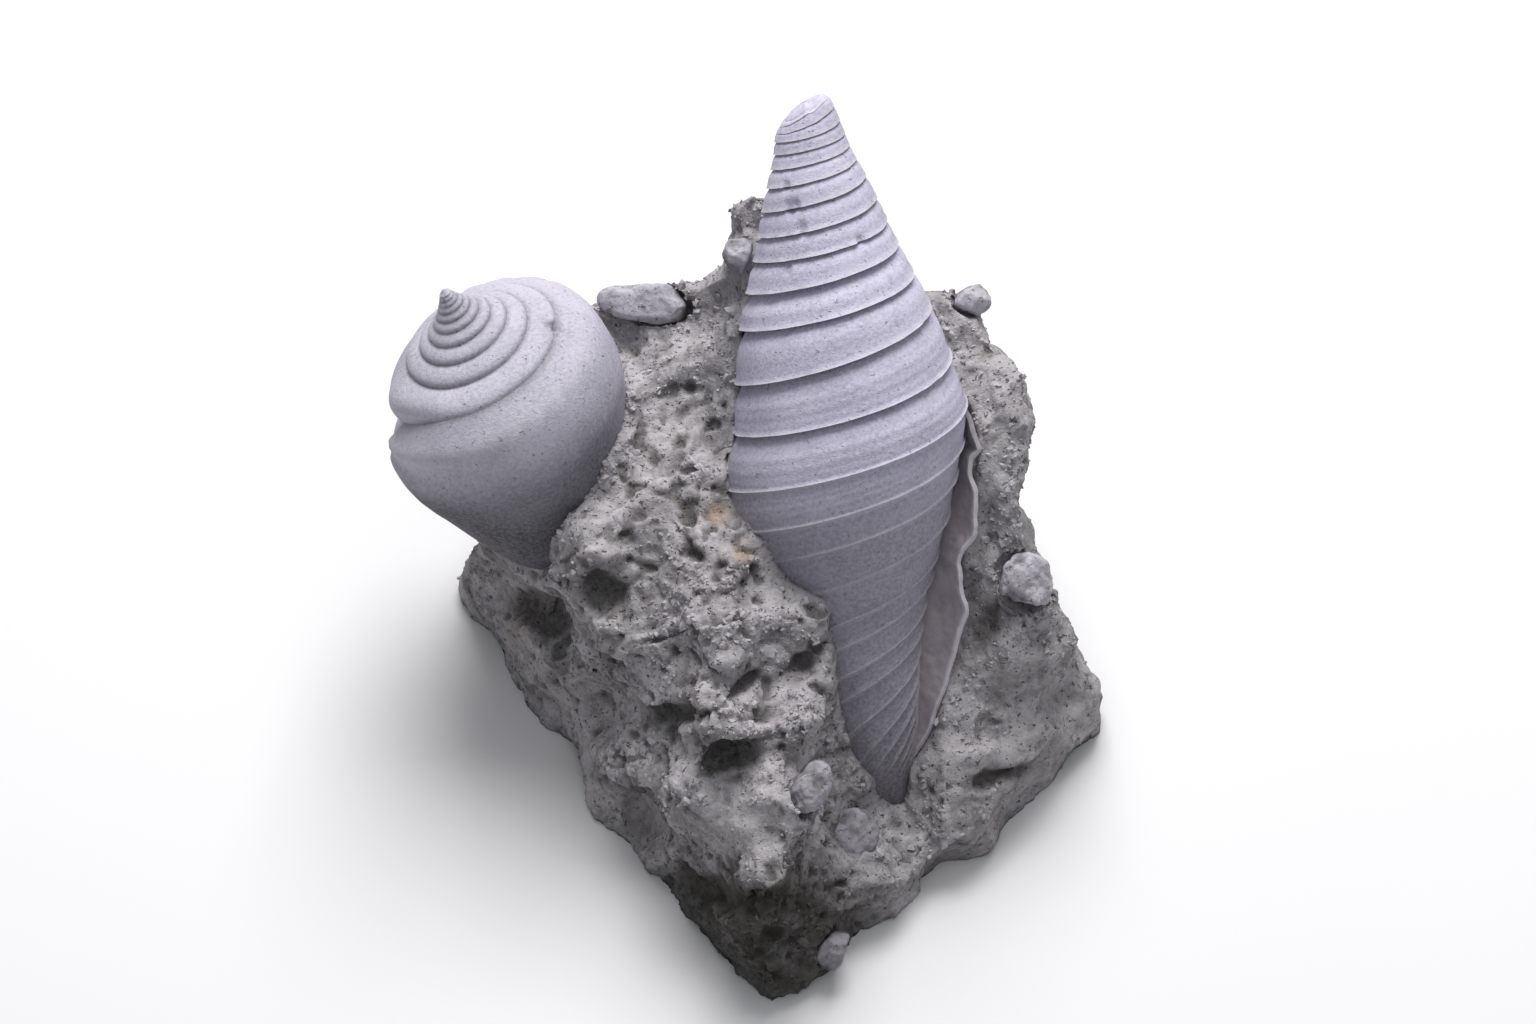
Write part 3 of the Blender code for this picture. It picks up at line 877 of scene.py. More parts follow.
        number = np.floor(rib)
        share = rib - number
        gap = np.maximum(self.depth_of(number + 1.0, turn) - self.depth_of(number, turn), 0.3)
        wobble = value_noise(around * np.array([9.0, 9.0, 0.0]) + number[:, None] * 7.3, 1.0, 5)
        size = np.clip(0.066 * radius, 0.15, 0.9)
        ragged = 0.8 + 0.35 * wobble
        ledge = -1.0 + 1.12 * smooth_step(share, -0.04, 0.5) - 0.10 * smooth_step(share, 0.55, 0.9)
        keel = np.exp(-(((1.0 - share) * gap) / 0.30) ** 2)
        lower = np.exp(-((share * gap) / 0.22) ** 2)
        on_base = smooth_step(rib, self.last_spire_rib + 0.6, self.last_spire_rib + 2.6)
        spire_relief = size * (ledge - self.slimmer + 0.42 * keel * ragged)
        pinched = self.pinch * (1.0 - smooth_step(np.abs(share - 0.25), 0.1, 0.32))
        pinched = pinched * smooth_step(turn, 0.0, 0.15)
        spire_relief -= np.where(number == self.pinched_band, pinched, 0.0)
        line = (keel + lower) * (0.42 + 0.08 * wobble) * smooth_step(self.length - depth, 3.0, 9.0)
        base_relief = line + 0.14 * (smooth_step(share, 0.0, 0.9) - 0.6)
        fade = smooth_step(raw, -1.0, 3.0)
        relief = blend(spire_relief, base_relief, on_base) * fade
        worn = np.zeros(len(radius))
        for chip in self.chips:
            reach = np.hypot(depth - chip.depth, (turn - chip.turn) * 2.0 * math.pi * radius)
            dent = 1.0 - smooth_step(reach + 0.35 * wobble, 0.35 * chip.radius, chip.radius)
            relief -= dent * (chip.cut + 0.6 * np.maximum(relief, 0.0))
            worn = np.maximum(worn, dent)
        radius = radius + relief
        radius += 0.12 * value_noise(around * np.array([2.2, 2.2, 1.0]), 1.0, 11) * fade
        radius = radius * np.clip(1.0 - np.maximum(raw - self.length, 0.0) / 2.5, 0, 1)
        dome = np.clip((self.dome - raw) / (self.dome + 1.8), 0.0, 1.0)
        radius = radius * np.sqrt(1.0 - dome * dome)
        sag = keel * 0.16 * (1.0 - on_base) * fade
        right = radius * np.cos(angle) - self.bend(depth)
        away = radius * np.sin(angle)
        depth = depth + sag
        slant = self.tip_slant * right + 0.2 * value_noise(around * 3.0, 1.0, 23)
        depth = depth + 0.6 * np.maximum(self.dome - depth, 0.0)
        depth = depth - slant * (1.0 - smooth_step(raw, 0.0, 5.0))
        set_points(piece, self.axis().place(right, away, depth))
        # the keels and the raised base lines are lightened: partly wear, partly a painted highlight where
        # they catch the light
        bright = (keel + lower * on_base) * (0.55 + 0.45 * ragged) * (1.0 - 0.3 * on_base)
        set_attribute(piece, "keel", bright * (1.0 - worn))
        # the grooves under each ledge and the chips are darkened: partly soiling, partly painted shade
        under = np.exp(-((share * gap) / (0.12 * gap + 0.3)) ** 2) * (1.0 - on_base)
        set_attribute(piece, "groove", under * 0.5 * fade + worn * 0.25)
        set_attribute(piece, "strand", rib * 5.0)
        lined = smooth_step(rib, self.last_spire_rib - 1.0, self.last_spire_rib + 1.0)
        set_attribute(piece, "strands", lined)
        # painted shade: the belly below the widest whorl and the left side are darkened, as they face away
        # from the light
        belly = smooth_step(depth, 42.0, 64.0) * 0.5 + smooth_step(depth, 72.0, 100.0) * 0.36
        set_attribute(piece, "painted_shell_shade", belly + 0.12 * smooth_step(-right, 6.0, 15.0))
        close_shell(piece, 0.004)
        return finish_piece(piece, Slot.SHELL, finish, "spindle_shell", sharp=55.0)


@dataclass
class SpindleLip:
    """The thin outer lip: a wall that comes round from behind and ends in a broken edge."""

    shell: SpindleShell
    thickness: float = 0.7
    back: float = math.radians(24.0)
    front: float = math.radians(-5.0)
    edge: Curve = field(default_factory=lambda: Curve([
        (45.6, 16.4), (49.0, 17.4), (52.2, 17.9), (53.6, 16.6), (55.5, 16.3), (58.5, 16.6),
        (61.7, 16.3), (64.8, 15.6), (66.9, 13.8), (69.0, 12.9), (72.5, 12.9), (75.3, 13.2),
        (78.0, 12.3), (81.0, 10.9), (84.0, 9.8), (88.2, 7.8), (92.0, 6.0), (94.6, 4.4),
        (97.0, 2.4)]))

    def build(self, finish: bpy.types.Material) -> bpy.types.Object:
        """Models and dresses the lip.

        Args:
            finish: The lip's material.

        Returns:
            The piece.
        """
        piece, across, down = add_grid("outer_lip", 46, 260)
        shell = self.shell
        top, bottom = self.edge.x[0], self.edge.x[-1]
        depth = top + (bottom - top) * down
        angle = blend(self.back, self.front, across)
        body = shell.profile(depth) - 0.5
        outer = np.maximum(self.edge(depth) + shell.bend(depth), body + 0.25)
        radius = blend(body - 1.5, outer, across) - self.thickness / 2.0
        radius += 0.10 * np.sin(depth * 1.1) * across
        right = radius * np.cos(angle) - shell.bend(depth)
        away = radius * np.sin(angle)
        set_points(piece, shell.axis().place(right, away, depth))
        rim = smooth_step(across, 0.93, 0.99)
        set_attribute(piece, "keel", rim)
        # painted shade: the wall's back, where it meets the body, and its top are darkened
        shade = (1.0 - smooth_step(depth, 48.0, 60.0)) * 0.5
        set_attribute(piece, "painted_shell_shade", np.maximum((1.0 - smooth_step(across, 0.2, 0.6)) * 0.35, shade))
        apply_modifier(piece, "SOLIDIFY", thickness=self.thickness * MM, offset=0.0)
        apply_modifier(piece, "BEVEL", width=0.2 * MM, segments=2, limit_method="ANGLE",
                       angle_limit=math.radians(60.0))
        points = points_of(piece)
        points += normals_of(piece) * (0.07 * value_noise(points, 0.9, 31))[:, None]
        set_points(piece, points)
        close_shell(piece, 0.001)
        return finish_piece(piece, Slot.SHELL, finish, sharp=50.0)


# ---------------------------------------------------------------- the moon snail shell


@dataclass
class MoonSnailShell:
    """The globose shell: tight rings at the apex, stepped spire, ridged shoulder, full body."""

    face: CarryingFace
    apex: tuple[float, float, float] = (-46.41, 100.14, 16.0)
    lean_left: float = 0.5058  # the axis's lean to the left on the face, radians
    lean_out: float = 0.7084  # and out of it
    mouth: float = 0.47  # where the last whorl ends, in turns from the front
    depth_end: float = 52.0  # below which the shell is closed, mm
    left_swell: float = 1.4  # how far the last whorl of the spire swells past its left, mm
    apex_turn: float = -9.5  # the turn from which the apex closes
    whorls: int = 11
    rows_per_turn: int = 38
    columns: int = 190

    def axis(self) -> ShellAxis:
        """Works out the shell's axis from its apex and leans.

        Returns:
            The axis in the frame.
        """
        flat = math.cos(self.lean_out)
        along = (-math.sin(self.lean_left) * flat, math.cos(self.lean_left) * flat,
                 math.sin(self.lean_out))
        return ShellAxis.at(self.face.place(self.apex), self.face.direction(along))

    @staticmethod
    def seam_radius(turn: np.ndarray) -> np.ndarray:
        """The spiral seam's radius, mm; turn 0 is the last seam at the front."""
        return np.exp(2.600 + 0.3515 * turn + 0.0058 * turn * turn)

    @staticmethod
    def seam_depth(turn: np.ndarray) -> np.ndarray:
        """The spiral seam's depth.

        Args:
            turn: The turn; 0 is the last seam at the front.

        Returns:
            The depth below the apex, mm.
        """
        past = np.maximum(turn - 0.05, 0.0)
        held = np.minimum(turn, 0.45)
        start = np.minimum(past, 0.2)
        rest = past - start
        return (np.exp(2.607 + 0.166 * held - 0.0019 * held * held)
                + 7.4 * start + 172.0 * start * start + 6.0 * rest + 8.0 * rest * rest)

    def body(self, depth: np.ndarray, turn: np.ndarray) -> tuple[np.ndarray, np.ndarray]:
        """The last whorl below its seam.

        Args:
            depth: Depth below the apex, mm.
            turn: The turn, counted as for the seam.

        Returns:
            The radius, mm, and how much of it is on the shoulder ridge.
        """
        start, top = self.seam_radius(turn), self.seam_depth(turn)
        largest, largest_at = 18.35 * np.exp(0.21 * turn), 22.6 + 9.0 * turn
        at = np.maximum(largest_at, top + 5.0)
        below = Curve([(0.0, 1.0), (3.0, 0.998), (7.0, 0.95), (10.0, 0.895), (15.5, 0.80), (22.0, 0.675),
                       (26.0, 0.56), (30.0, 0.2)])
        widest = largest * below(at - largest_at)
        share = (depth - top) / (at - top)
        outline = Curve([(0.0, 0.0), (0.08, 0.14), (0.2, 0.37), (0.34, 0.63), (0.42, 0.745), (0.55, 0.84),
                         (0.75, 0.94), (1.0, 0.998), (1.05, 1.0)])
        upper = start + (widest - start) * outline(np.clip(share, 0.0, 1.05))
        lower = largest * below(np.maximum(depth - largest_at, 0.0))
        radius = np.where(depth < at, upper, lower)
        ridge = np.exp(-(((share - 0.38) / 0.10) ** 2))
        hollow = np.exp(-(((share - 0.72) / 0.20) ** 2)) * smooth_step(turn, -0.15, 0.15)
        return radius + 0.25 * ridge - 0.55 * hollow, ridge

    def build(self, finish: bpy.types.Material) -> bpy.types.Object:
        """Models and dresses the shell.

        Args:
            finish: The shell's material.

        Returns:
            The piece.
        """
        steps = np.arange(self.rows_per_turn) / self.rows_per_turn
        steps = steps - 0.55 * np.sin(2.0 * math.pi * steps) / (2.0 * math.pi)
        rows = np.array([whorl + step for whorl in range(-self.whorls, 4) for step in steps])
        piece, across, down = add_grid("moon_snail", self.columns, len(rows) - 1)
        level = rows[np.rint(down * (len(rows) - 1)).astype(int)]
        turn = self.mouth - 1.0 + across
        phase = turn + level
        number = np.ceil(level - 1e-9)
        share = level - (number - 1.0)
        upper_turn = turn + number - 1.0
        upper = np.stack([self.seam_radius(upper_turn), self.seam_depth(upper_turn)])
        lower = np.stack([self.seam_radius(upper_turn + 1.0), self.seam_depth(upper_turn + 1.0)])
        run = lower - upper
        reach = np.maximum(np.hypot(*run), 1e-3)
        bulge = 0.115 * reach * np.sin(math.pi * np.clip(share, 0, 1) ** 1.5) ** 0.75
        seam_gap = np.minimum(share, 1.0 - share) * reach
        notch = np.exp(-((seam_gap / 0.42) ** 2)) * np.clip(0.055 * reach, 0.05, 0.22)
        swell = smooth_step(upper_turn + 1.0, 0.0, 0.2) * np.sin(math.pi * np.clip(share, 0, 1))
        lift = bulge - notch + np.where(number == 0.0, self.left_swell * swell, 0.0)
        whorl_radius = upper[0] + run[0] * share + run[1] / reach * lift
        whorl_depth = upper[1] + run[1] * share - run[0] / reach * lift
        whorl_groove = np.exp(-((seam_gap / 0.36) ** 2))

        closing = smooth_step(self.mouth - turn, 0.0, 0.08)
        base_depth = self.seam_depth(phase)
        effective = turn - (1.0 - closing)
        body_radius, ridge = self.body(base_depth, effective)
        seam_near = np.exp(-(((base_depth - self.seam_depth(effective)) / 0.5) ** 2)) * closing
        body_radius = body_radius - 0.2 * seam_near
        on_body = level > 0.0
        last = (level > -1.0) & ~on_body
        early_radius, _ = self.body(base_depth, turn - 1.0)
        radius = np.where(on_body, body_radius, whorl_radius)
        depth = np.where(on_body, base_depth, whorl_depth)
        radius = np.where(last, blend(early_radius, whorl_radius, closing), radius)
        depth = np.where(last, blend(base_depth, whorl_depth, closing), depth)
        groove = np.where(on_body, seam_near, whorl_groove)
        past = np.minimum(phase - self.apex_turn, 0.0)
        depth = depth * np.clip(1.0 + past * 0.12, 0.4, 1.0)
        radius = radius * np.clip(1.0 + past, 0.0, 1.0)
        over = np.maximum(depth - self.depth_end, 0.0)
        radius = radius * np.clip(1.0 - over / 3.0, 0.0, 1.0)
        depth = np.minimum(depth, self.depth_end)

        angle = -2.0 * math.pi * (turn + 0.25)
        around = np.stack([np.cos(angle) * radius, np.sin(angle) * radius, depth], axis=1)
        flat = np.stack([angle * 14.0, depth * 0.12, np.zeros(len(depth))], axis=1)
        growth_lines = value_noise(flat, 1.0, 41)
        radius = radius + on_body * 0.07 * growth_lines * smooth_step(depth, 20.0, 30.0)
        radius = radius + 0.16 * value_noise(around, 7.0, 43) * smooth_step(depth, 5.0, 12.0)
        spot = np.hypot((turn + 0.235) * 2.0 * math.pi * radius, depth - 12.7)
        bruise = 1.0 - smooth_step(spot + 0.4 * value_noise(around, 0.9, 47), 0.5, 1.5)
        radius = radius - 0.45 * bruise
        right, away = radius * np.cos(angle), radius * np.sin(angle)
        set_points(piece, self.axis().place(right, away, depth))
        # the shoulder ridge is lightened a little: a painted highlight, with wear
        set_attribute(piece, "keel", np.where(on_body, ridge * 0.15, 0.0))
        fade = smooth_step(depth, 1.5, 5.0)
        # painted shade: the seams and the bruise are darkened
        set_attribute(piece, "groove", np.clip(groove * 0.5 * fade + bruise * 0.6, 0, 1))
        # painted shade: the lower front and the left of the body are darkened, as they face away from the
        # light
        front = smooth_step(-np.sin(angle), -0.1, 0.7)
        under = front * (0.62 * smooth_step(depth, 19.5, 29.0) + 0.28 * smooth_step(depth, 30.0, 42.0))
        left = smooth_step(-np.cos(angle), -0.2, 0.8)
        set_attribute(piece, "painted_shell_shade", np.clip(1.5 * under * (0.72 + 0.4 * left), 0.0, 0.98))
        close_shell(piece, 0.004)
        return finish_piece(piece, Slot.SHELL, finish, "moon_snail_shell", sharp=60.0)


# ---------------------------------------------------------------- the limestone block


@dataclass(frozen=True)
class Mark:
    """A feature of the stone's face: where it is, its half sizes, turn and height, mm."""

    across: float
    up: float
    wide: float
    tall: float
    height: float
    turn: float = 0.0

    def share(self, spots: np.ndarray) -> np.ndarray:
        """Reads the feature at some spots.

        Args:
            spots: The (across, up, out) spots, mm.

        Returns:
            How much of the feature each spot has, 0 to 1.
        """
        angle = math.radians(self.turn)
        x, y = spots[:, 0] - self.across, spots[:, 1] - self.up
        along = x * math.cos(angle) + y * math.sin(angle)
        over = -x * math.sin(angle) + y * math.cos(angle)
        return np.exp(-((along / self.wide) ** 2 + (over / self.tall) ** 2) ** 1.3)


MARKS = (
    Mark(-12.1, 85.5, 0.9, 0.8, -1.2),
    Mark(-12.1, 67.8, 1.2, 0.9, -1.9, -10),
    Mark(-11.4, 62.5, 1.6, 0.9, -2.2, -25),
    Mark(-7.2, 60.9, 0.9, 0.7, -1.5, -20),
    Mark(-2.0, 60.0, 0.8, 0.8, -1.5),
    Mark(-19.7, 83.9, 1.5, 1.5, 0.9),
    Mark(-19.7, 83.9, 0.6, 0.6, -0.9),
    Mark(-20.4, 64.3, 1.3, 1.6, -1.7, 30),
    Mark(-26.4, 66.0, 3.4, 3.0, 1.5, 20),
    Mark(-24.8, 61.6, 4.4, 1.4, 1.4, 8),
    Mark(-24.2, 57.2, 3.2, 2.4, -3.0, 12),
    Mark(-34.5, 53.5, 4.2, 2.6, -3.0, -20),
    Mark(-31.5, 58.5, 2.4, 1.2, 1.6, 35),
    Mark(-6.4, 53.3, 3.4, 0.45, -1.4, 12),
    Mark(-16.0, 50.5, 3.8, 0.5, -1.1, 18),
    Mark(-6.3, 47.2, 2.8, 2.1, 1.5, -15),
    Mark(-3.6, 44.4, 2.6, 0.8, -1.8, 35),
    Mark(-13.6, 39.8, 4.3, 1.5, -2.8, 14),
    Mark(-12.0, 42.6, 4.8, 1.2, 1.1, 14),
    Mark(-6.0, 34.3, 4.3, 1.8, -3.2, 12),
    Mark(-4.6, 37.4, 3.6, 1.2, 1.0, 14),
    Mark(-1.0, 40.0, 1.5, 1.2, -1.4, 40),
    Mark(4.4, 47.0, 1.2, 1.6, -1.4, -60),
    Mark(34.0, 47.0, 2.6, 2.0, 0.8, 10),
    Mark(30.0, 52.0, 1.8, 2.8, -1.0, -20),
    Mark(33.5, 30.0, 5.0, 1.4, -2.4, 10),
    Mark(30.0, 33.6, 4.8, 1.5, 1.2, 8),
    Mark(11.6, 22.6, 3.0, 3.0, -1.2),
    Mark(-5.0, 14.0, 9.0, 2.4, -2.2),
)
STAINS = (Mark(-7.6, 68.3, 1.7, 1.4, 1.0, -35), Mark(-4.2, 62.6, 1.7, 1.5, 1.0, -30),
          Mark(-38.0, 52.0, 2.5, 3.0, 0.35), Mark(30.0, 92.0, 3.0, 3.0, 0.2))
SANDY_FACE = Mark(-7.2, 24.8, 10.5, 6.6, 1.0, 8)


@dataclass
class LimestoneBlock:
    """The stone: the design's block, regrown finely and weathered into lumps and pores."""

    face: CarryingFace
    node: str = "limestone_matrix"
    swell: float = 0.5  # closes the gap to the shells, mm
    drawn_in: float = 0.6  # how far the weathered surface lies within the swollen one, mm
    voxel: float = 0.46
    triangles: int = 192000
    shells: tuple[str, ...] = ("spindle_shell", "moon_snail_shell")
    contact: Curve = field(default_factory=lambda: Curve([
        (20, 22), (27.5, 16.8), (29.7, 14.6), (33.2, 11.1), (36.3, 10.3), (42.9, 8.8), (50.1, 7.9),
        (54.1, 7.7), (57.9, 5.4), (61.4, 3.0), (64.9, -2.5), (68.4, -4.7), (70.5, -6.5), (79.8, -7.8),
        (120, -12)]))  # where the stone ends along the spindle: up the slope, across, mm

    def clear_mouth(self, points: np.ndarray) -> np.ndarray:
        """Keeps the stone behind the spindle's lip and out of its slit-like mouth.

        Args:
            points: The stone's points, mm.

        Returns:
            The points, with those in the mouth pushed away behind the lip.
        """
        spindle = SpindleShell(self.face)
        lip = SpindleLip(spindle)
        axis = spindle.axis()
        local = points - axis.apex
        right, away, depth = local @ axis.x, local @ axis.y, -(local @ axis.z)
        body = spindle.profile(depth) - 2.0
        outer = lip.edge(np.clip(depth, lip.edge.x[0], lip.edge.x[-1])) + spindle.bend(depth)
        shifted = right + spindle.bend(depth)
        start, end = body * math.cos(lip.back), outer * math.cos(lip.front)
        share = np.clip((shifted - start) / np.maximum(end - start, 0.5), 0.0, 1.0)
        wall = blend(body * math.sin(lip.back), outer * math.sin(lip.front), share) + 0.9
        inside = smooth_step(depth, lip.edge.x[0] - 1.5, lip.edge.x[0] + 0.5)
        inside *= 1.0 - smooth_step(depth, lip.edge.x[-1] - 0.5, lip.edge.x[-1] + 1.5)
        inside *= smooth_step(shifted, start - 1.5, start)
        inside *= 1.0 - smooth_step(shifted, end - 0.1, end + 1.2)
        push = np.maximum(wall - away, 0.0) * inside * (np.abs(away) < 12.0)
        return points + push[:, None] * axis.y

    def clear_belly(self, points: np.ndarray) -> np.ndarray:
        """Sinks the stone that would lie over the spindle's open left side.

        Args:
            points: The stone's points, mm.

        Returns:
            The points, with those over the shell pushed down into it.
        """
        spindle = SpindleShell(self.face)
        axis = spindle.axis()
        spots = self.face.read(points)
        local = points - axis.apex
        depth = -(local @ axis.z)
        shifted = local @ axis.x + spindle.bend(depth)
        away = local @ axis.y
        radius = spindle.profile(np.clip(depth, 0.0, spindle.length))
        under = -np.sqrt(np.maximum(radius * radius - shifted * shifted, 0.0)) + 1.3
        edge = self.contact(spots[:, 1]) + 0.35 * value_noise(points, 1.6, 151)
        over = smooth_step(spots[:, 0] - edge, -0.3, 0.9) * (np.abs(shifted) < radius)
        over = over * smooth_step(spots[:, 1], 24.0, 27.0) * (spots[:, 2] > -14.0)
        return points + (np.maximum(under - away, 0.0) * over)[:, None] * axis.y

    def near_shell(self, points: np.ndarray) -> np.ndarray:
        """Measures how near the shells are.

        Args:
            points: The points, mm.

        Returns:
            Each point's distance to the nearest shell, mm, up to a fixed reach.
        """
        trees = []
        for name in self.shells:
            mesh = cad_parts[name].data
            faces = [tuple(face.vertices) for face in mesh.polygons]
            trees.append(BVHTree.FromPolygons([v.co.copy() for v in mesh.vertices], faces))
        reach = 6.0
        distance = np.full(len(points), reach)
        for i, point in enumerate(points * MM):
            spot = Vector(point)
            for tree in trees:
                found = tree.find_nearest(spot, reach * MM)
                if found[3] is not None and found[3] / MM < distance[i]:
                    distance[i] = found[3] / MM
        return distance

    def regrow(self) -> bpy.types.Object:
        """Swells the design's block to meet the shells and remeshes it finely.

        Returns:
            The smooth block.
        """
        piece = copy_of_node(self.node, "limestone_block")
        set_points(piece, points_of(piece) + normals_of(piece) * self.swell)
        apply_modifier(piece, "REMESH", mode="VOXEL", voxel_size=self.voxel * MM)
        apply_modifier(piece, "SMOOTH", factor=0.5, iterations=2)
        return piece

    def weathering(self, points: np.ndarray, spots: np.ndarray,
                   rough: np.ndarray) -> tuple[np.ndarray, np.ndarray]:
        """The stone's own relief, away from its shells and its placed features.

        Args:
            points: The stone's points, mm.
            spots: The same points as (across, up, out).
            rough: How rough the stone is at each point, 0 to 1.

        Returns:
            How far each point moves outwards, mm, and how much it lies in a pore or crease.
        """
        warp = np.stack([value_noise(points, 3.0, seed) for seed in (3, 5, 7)], axis=1)
        warped = points + 1.2 * warp
        lumps = layered_noise(warped, 11.0, 61, 3)
        nearest, rim = nodule_noise(warped, 4.6, 71)
        knobs = 0.55 - nearest
        creases = 1.0 - smooth_step(rim, 0.0, 0.16)
        small, _ = nodule_noise(warped, 1.9, 83)
        pits = smooth_step(value_noise(points, 1.5, 97), 0.35, 0.75)
        ridged = 1.0 - np.abs(layered_noise(warped, 2.6, 91, 2)) * 2.0
        along = spots[:, 0] * 0.94 + spots[:, 1] * 0.34
        over = spots[:, 1] * 0.94 - spots[:, 0] * 0.34
        streaks = layered_noise(np.stack([along * 0.33, over, spots[:, 2] * 0.8], axis=1), 2.6, 131, 3)
        shift = (1.15 * lumps + 0.5 * knobs * rough - 0.25 * creases * rough
                 + 0.3 * (0.5 - small) * rough + 0.35 * ridged * rough - 0.6 * pits * rough
                 + 0.75 * streaks * rough + 0.2 * layered_noise(points, 1.3, 101, 2) - self.drawn_in)
        pores = rough * (0.3 * creases + 0.8 * pits + 0.7 * smooth_step(-streaks, 0.25, 0.8))
        return shift, pores

    def build(self, finish: bpy.types.Material) -> bpy.types.Object:
        """Models and dresses the block.

        Args:
            finish: The stone's material.

        Returns:
            The piece.
        """
        piece = self.regrow()
        points, normals = points_of(piece), normals_of(piece)
        spots = self.face.read(points)
        distance = self.near_shell(points)
        free = smooth_step(distance, 0.35, 2.2)
        sandy = SANDY_FACE.share(spots) * smooth_step(normals @ OUT_OF_FACE, 0.2, 0.6)
        front = smooth_step(spots[:, 2], -14.0, 2.0)
        calm = 0.55 * smooth_step(spots[:, 1], 78.0, 90.0) + 0.5 * smooth_step(spots[:, 0], 20.0, 28.0)
        rough = (0.6 + 0.4 * front) * (1.0 - 0.75 * sandy) * (1.0 - np.clip(calm, 0.0, 0.6))
        shift, pores = self.weathering(points, spots, rough)
        on_face = smooth_step(normals @ OUT_OF_FACE, -0.1, 0.4)
        marks = np.zeros(len(points))
        for mark in MARKS:
            marks += mark.share(spots) * mark.height * on_face
        shift = shift * free + marks * smooth_step(distance, 0.1, 0.8)
        shift += (1.0 - free) * 0.22 * value_noise(points, 0.9, 111)
        moved = points + normals * shift[:, None]
        moved[:, 2] = np.maximum(moved[:, 2], 0.0)
        moved = np.where(points[:, 2:] < 0.6, np.stack([moved[:, 0], moved[:, 1], np.minimum(
            moved[:, 2], points[:, 2])], axis=1), moved)
        moved = self.clear_belly(self.clear_mouth(moved))
        moved[:, 2] = np.maximum(moved[:, 2], 0.0)
        set_points(piece, moved)
        # the pores, creases, sunken marks and sunken places are darkened: partly soiling, partly painted
        # shade
        low_marks = np.clip(-marks / 2.0, 0.0, 1.0)
        hollow = np.clip(pores + low_marks + 0.5 * smooth_step(-shift, 0.5, 1.8), 0.0, 1.0) * free
        # painted shade: the downward faces, the near tip and the sides turned away from the face are
        # darkened
        downward = smooth_step(-normals[:, 2] - 0.25 * normals[:, 1], -0.25, 0.75)
        tip = 1.0 - smooth_step(np.hypot(spots[:, 0] + 2.0, spots[:, 1] - 4.0), 9.0, 24.0)
        stains = sum(mark.share(spots) * mark.height for mark in STAINS) * on_face
        set_attribute(piece, "hollow", hollow * 0.8)
        set_attribute(piece, "stain", np.clip(stains, 0.0, 1.0))
        tip = tip * (1.0 - 0.92 * np.clip(sandy * 1.6, 0.0, 1.0))
        side = smooth_step(-(normals @ OUT_OF_FACE), -0.45, 0.25)
        set_attribute(piece, "painted_stone_shade", np.clip(0.5 * downward + 0.95 * tip + 0.5 * side, 0.0, 0.96))
        set_attribute(piece, "smooth", sandy)
        count = sum(len(polygon.vertices) - 2 for polygon in piece.data.polygons)
        if count > self.triangles:
            apply_modifier(piece, "DECIMATE", ratio=self.triangles / count)
        return finish_piece(piece, Slot.STONE, finish, self.node)


